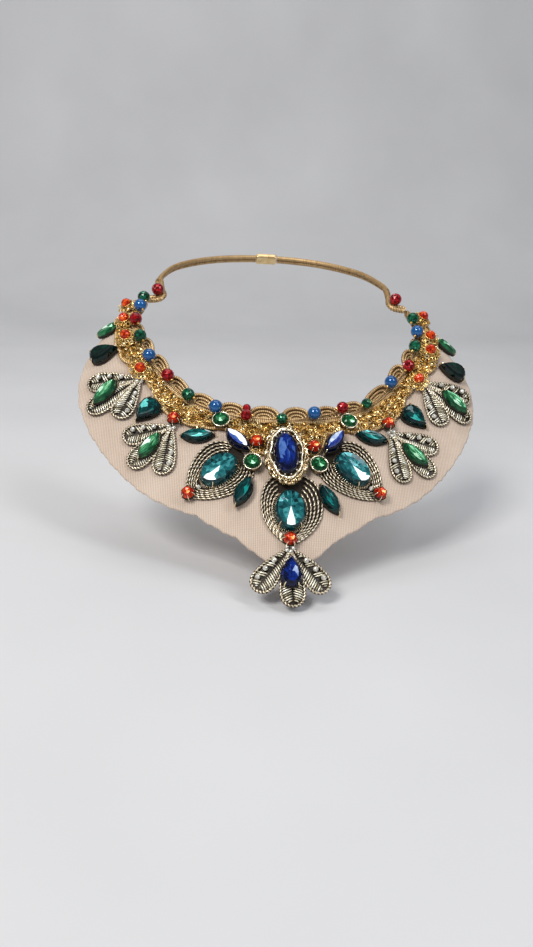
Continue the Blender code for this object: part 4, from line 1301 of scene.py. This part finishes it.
def add_stone(shape, name, cut, patch, height):
    outline, size, count, table_share, _ = CUTS[cut]
    length, _, tall = size
    painted_flash = next(value for key, value in PAINTED_FLASHES.items() if name.startswith(key))
    flat_table = name.startswith(FLAT_TABLES)
    dip = 0.012 if flat_table else 0.05
    spread = 0.10 if cut in ("centre", "blue_pear") else 0.03 if flat_table else 0.15
    centre = np.array([-0.05 * length, 0.0, (1 - 1.6 * dip) * tall])
    # scale, level and shift of the rings, from the girdle up and in over the table
    rings = (
        (0.97, 0.30, 0.0),
        (1.0, 0.42, 0.0),
        ((1 + table_share) / 2 + 0.03, 0.80, 0.5),
        (table_share, 1.0, 0.0),
        (table_share * 0.66, 1 - 0.7 * dip, 0.5),
        (table_share * 0.34, 1 - dip, 0.0),
    )
    flat = np.concatenate([*(stone_ring(outline, size, count, *ring) for ring in rings), centre[None]])
    points = patch.place(flat, height)
    starts = count * np.arange(len(rings) + 1)
    j = np.arange(count)
    k = (j + 1) % count
    wall = np.concatenate([np.stack([j, k, count + k], -1), np.stack([j, count + k, count + j], -1)])
    hub = np.stack([starts[5] + j, starts[5] + k, np.full(count, starts[6])], -1)
    outer = zigzag(count, starts[1], starts[2], True)
    crown = np.concatenate([outer, zigzag(count, starts[2], starts[3], False)])
    ring = zigzag(count, starts[3], starts[4], True)
    top = np.concatenate([ring, zigzag(count, starts[4], starts[5], False), hub])
    # low tints: painted shade on the girdle wall, and on the crown, darkest on the blue navettes
    shape.add(points, wall, 0, 0.1, False)
    crown_shade_tint = CROWN_SHADE_TINT[cut] * (0.15 if name.startswith("navette_blue") else 1.0)
    shape.add(points, crown, 0, np.clip(chance.normal(crown_shade_tint, 0.12, len(crown)), 0.0, 0.7), False)
    shape.add(points, top, 0, facet_tints(flat[top], centre, size, painted_flash, spread), False)
    add_cup(shape, cut, patch, height)
    add_claws(shape, cut, patch, height)


RIM_STEPS = 40


def add_bezel_rim(shape, patch, height):
    """Thin rolled rim of a bezel setting."""
    radius = BEZEL[0] / 2
    line = circle(RIM_STEPS, np.array([radius, 0.0, 0.0]), np.array([0.0, radius, 0.0]))
    line[:, 2] = 0.56 * BEZEL[2]
    rim = patch.place(line, height)
    tube(shape, rim, np.tile(patch.normal, (RIM_STEPS, 1)), 0.00028, 8, True, 1, 0.9)


def build_stones():
    for name, cut, along, out, turn, seat in STONES:
        patch = Patch(*lengths_of(along, out), turn)
        look, slot = next((a, b) for start, a, b in STONE_LOOKS if name.startswith(start))
        shape = Shape()
        add_stone(shape, name, cut, patch, SEATS[seat])
        if cut == "bezel":
            add_bezel_rim(shape, patch, SEATS[seat])
        shape.make(name + "_cut", [look, "polished", "shade_underlay"], [name])


# beads

BEAD_LOOKS = ["red", "bead_green", "blue_pearl", "lace", "orange", "gold"]
THREAD_MARGIN = 0.001
TWIN_SINK = 0.0006


def add_bead(shape, centre, axis, size, kind):
    if kind == "pearl":
        ball(shape, centre, size / 2, axis, 28, 18, 2, False)
    else:
        ball(shape, centre, size / 2, axis, 12, 9, 0 if kind == "red" else 1)


def build_edge_beads(name, rows):
    """Beads of the neck edge on their thread, each between two small gold beads."""
    shape = Shape()
    alongs = np.array([row[0] * BIB_HALF for row in rows])
    outs = np.array([row[1] * BIB_DEPTH for row in rows])
    line = np.linspace(alongs[0] - THREAD_MARGIN, alongs[-1] + THREAD_MARGIN, 160)
    points, normals = on_form(line, np.interp(line, alongs, outs), FIELD_SEAT + 0.0003)
    rope(shape, points, normals, 0.00032, lay=0.0018, depth=0.3, sides=6, slot=3)
    for along, out, size, kind in rows:
        along, out = lengths_of(along, out)
        centre, _ = on_form(along, out, FIELD_SEAT + size / 2)
        ahead, _ = on_form(along + 0.001, out, FIELD_SEAT + size / 2)
        axis = unit(ahead - centre)
        add_bead(shape, centre, axis, size, kind)
        for side in (-1, 1):
            ball(shape, centre + axis * side * (size / 2 + 0.0003), 0.0007, axis, 9, 6, 5)
    if rows is EDGE_BEADS_LEFT:
        along, out, size = TWIN_BEAD
        centre, _ = on_form(*lengths_of(along, out), FIELD_SEAT - TWIN_SINK + size / 2)
        add_bead(shape, centre, axis, size, "red")
    shape.make(name + "_strung", BEAD_LOOKS, [name])


# depth under the bead's middle, radius of the ring, radius of the cord
COILS = ((0.0012, 0.0027, 0.00045), (0.0002, 0.0027, 0.00030))
COIL_STEPS = 24
LOOP_STEPS = 12
COIL_LOOPS = 28
LOOP_REACHES = (0.0032, 0.0043)


def build_accents():
    """Orange beads, each in coils of cord and two rounds of loops."""
    for name, along, out in ACCENT_BEADS:
        shape = Shape()
        centre, normal = on_form(*lengths_of(along, out), FIELD_SEAT + SMALL_BEAD / 2)
        axis = unit(np.cross(normal, (0.3, 0.2, 1.0)))
        ball(shape, centre, SMALL_BEAD / 2, axis, 12, 9, 4)
        first, second = axis, np.cross(normal, axis)
        for drop, reach, thick in COILS:
            ring = centre - normal * drop + reach * circle(COIL_STEPS, first, second)
            normals = np.tile(normal, (COIL_STEPS, 1))
            rope(shape, ring, normals, thick, lay=0.002, depth=0.3, closed=True, slot=5)
        for k in range(COIL_LOOPS):
            a = k * FULL * 2 / COIL_LOOPS
            out_of = math.cos(a) * first + math.sin(a) * second
            reach = LOOP_REACHES[0] if 2 * k < COIL_LOOPS else LOOP_REACHES[1]
            middle = centre - normal * chance.uniform(0.0008, 0.0020) + out_of * reach
            tilt = unit(normal + out_of * chance.uniform(-0.2, 0.9) + chance.normal(0, 0.25, 3))
            one = unit(np.cross(tilt, out_of))
            loop = middle + chance.uniform(0.0007, 0.0011) * circle(LOOP_STEPS, one, np.cross(tilt, one))
            tint = chance.uniform(0.3, 1.0)
            tube(shape, loop, np.tile(tilt, (LOOP_STEPS, 1)), 0.00024, 5, True, 5, tint, False)
        shape.make(name + "_bead", BEAD_LOOKS, [name])


# straps

STRAP_CORD = 0.00112
BINDING_STEP = 0.0075
BINDING_SIDES = 16
BINDING_REACH = (0.0023, 0.00115)


def strap_line(side):
    """Middle line of a strap from the lace's corner to the clasp, and the place of its bead."""
    angle, radius, height = np.array(STRAP_ROUTE).T
    angle = side * np.radians(angle)
    radius = radius * NECK_RADIUS
    route = np.stack([radius * np.sin(angle), -radius * np.cos(angle), height * BACK_RISE], axis=-1)
    edge = neck_edge(STRAP_ROOT)
    outs = np.array([edge + STRAP_WIDTH, edge - GAP])
    roots, _ = on_form(side * STRAP_ROOT, outs, TRIM_BASE + STRAP_THICKNESS / 2)
    knots = np.vstack([roots, route, route[-2] * (-1, 1, 1)])
    t = np.linspace(0.0, 1.0, 40, endpoint=False)[:, None]
    pieces = [catmull_rom(a, b, c, d, t) for a, b, c, d in zip(knots, knots[1:], knots[2:], knots[3:])]
    points = np.vstack([*pieces, knots[-2]])
    lengths = path_lengths(points)
    places = np.linspace(0.0, lengths[-1] - CLASP_LENGTH / 2 - GAP, 200)
    return at_lengths(points, lengths, places), knots[2]


def strap_normals(points):
    radial = unit(points * (1, 1, 0))
    lean = math.radians(STRAP_LEAN)
    return radial * math.cos(lean) + np.array([0.0, 0.0, math.sin(lean)])


def build_strap(name, side):
    """Two cords side by side, bound with thread at even steps."""
    points, _ = strap_line(side)
    ahead = unit(np.gradient(points, axis=0))
    across = unit(np.cross(ahead, strap_normals(points)))
    up = unit(np.cross(across, ahead))
    shape = Shape()
    for shift in (-0.5, 0.5):
        cord = points + across * shift * STRAP_WIDTH * 0.5
        rope(shape, cord, up, STRAP_CORD, lay=0.0040, depth=0.20, plies=3, sides=10, low=1.0)
    lengths = path_lengths(points)
    wide, high = BINDING_REACH
    for place in np.arange(0.004, lengths[-1] - 0.003, BINDING_STEP):
        k = int(np.searchsorted(lengths, place))
        ring = points[k] + circle(BINDING_SIDES, wide * across[k], high * up[k])
        tube(shape, ring, np.tile(ahead[k], (BINDING_SIDES, 1)), 0.00028, 5, True, 0, 0.3)
    shape.make(name + "_cords", ["lace"], [name])


def build_strap_bead(name, side):
    points, spot = strap_line(side)
    station = int(np.argmin(np.linalg.norm(points - spot, axis=1)))
    ahead = unit(points[station + 1] - points[station - 1])
    normal = strap_normals(points)[station]
    up = unit(normal - ahead * np.dot(normal, ahead))
    centre = points[station] + up * (STRAP_THICKNESS / 2 + GAP + ROUND_BEAD / 2)
    shape = Shape()
    ball(shape, centre, ROUND_BEAD / 2, ahead, 12, 9, 0)
    shape.make(name + "_cut", ["red"], [name])


# the whole necklace

build_net()
build_lace()
build_field()
for row in MEDALLIONS:
    build_medallion(*row)
for row in FANS:
    build_fan(*row)
build_frame()
build_stones()
build_edge_beads("edge_beads_left", EDGE_BEADS_LEFT)
build_edge_beads("edge_beads_right", EDGE_BEADS_RIGHT)
build_accents()
for side_name, side in (("left", -1), ("right", 1)):
    build_strap("strap_" + side_name, side)
    build_strap_bead("strap_bead_" + side_name, side)
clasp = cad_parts["clasp"]
clasp.data.materials.clear()
clasp.data.materials.append(LOOKS["clasp"])


# floor, lights and camera

FLOOR = -0.104
COVE_START = 0.55
COVE_RADIUS = 0.35


def build_stage():
    """Pale floor that curves up into a backdrop."""
    profile = [(-1.2, FLOOR)]
    for a in np.linspace(0, math.pi / 2, 16):
        profile.append((COVE_START + COVE_RADIUS * math.sin(a), FLOOR + COVE_RADIUS * (1 - math.cos(a))))
    profile.append((COVE_START + COVE_RADIUS, 2.2))
    points = [(x, y, z) for y, z in profile for x in (-2.5, 2.5)]
    faces = [(2 * k, 2 * k + 1, 2 * k + 3, 2 * k + 2) for k in range(len(profile) - 1)]
    mesh = bpy.data.meshes.new("floor")
    mesh.from_pydata(points, [], faces)
    mesh.shade_smooth()
    made, tree, principled = shader("floor_paper")
    stops = ((0.3, (0.60, 0.60, 0.61)), (0.7, (0.66, 0.66, 0.67)))
    tree.links.new(ramp(tree, stops, noise(tree, 6.0)), principled.inputs["Base Color"])
    principled.inputs["Roughness"].default_value = 0.9
    mesh.materials.append(made)
    floor = bpy.data.objects.new("floor", mesh)
    bpy.context.scene.collection.objects.link(floor)


def add_light(name, place, target, size, power, colour=(1.0, 1.0, 1.0)):
    data = bpy.data.lights.new(name, "AREA")
    data.shape = "RECTANGLE"
    data.size, data.size_y = size
    data.energy = power
    data.color = colour
    item = bpy.data.objects.new(name, data)
    item.location = place
    item.rotation_euler = (Vector(target) - Vector(place)).to_track_quat("-Z", "Y").to_euler()
    bpy.context.scene.collection.objects.link(item)


def build_camera():
    place = (-0.0343, -0.4041, 0.0435)
    pitch, yaw, roll = (math.radians(v) for v in (19.7, 5.1, 3.0))
    focal_pixels, image_height = 740, 947
    look = Vector((math.sin(yaw) * math.cos(pitch), math.cos(yaw) * math.cos(pitch), -math.sin(pitch)))
    right = Vector((math.cos(yaw), -math.sin(yaw), 0.0))
    up = right.cross(look)
    right, up = right * math.cos(roll) + up * math.sin(roll), up * math.cos(roll) - right * math.sin(roll)
    data = bpy.data.cameras.new("camera")
    data.sensor_fit = "VERTICAL"
    data.sensor_height = 36.0
    data.lens = focal_pixels / image_height * data.sensor_height
    data.clip_start = 0.01
    camera = bpy.data.objects.new("camera", data)
    camera.matrix_world = Matrix.Translation(Vector(place)) @ Matrix((right, up, -look)).transposed().to_4x4()
    bpy.context.scene.collection.objects.link(camera)
    bpy.context.scene.camera = camera


build_stage()
add_light("key", (-0.55, -0.75, 0.85), (0, -0.08, -0.05), (0.40, 0.40), 11.0, (1.0, 0.98, 0.95))
add_light("window", (0.55, -0.55, 0.75), (0, -0.08, -0.05), (0.25, 0.60), 3.2, (0.92, 0.96, 1.0))
add_light("top", (0.0, 0.15, 0.95), (0, -0.05, -0.05), (0.9, 0.5), 2.4)
world = bpy.data.worlds.new("studio")
world.use_nodes = True
world.node_tree.nodes["Background"].inputs["Color"].default_value = (0.80, 0.82, 0.86, 1.0)
world.node_tree.nodes["Background"].inputs["Strength"].default_value = 0.34
bpy.context.scene.world = world
build_camera()
bpy.context.scene.view_settings.view_transform = "Standard"
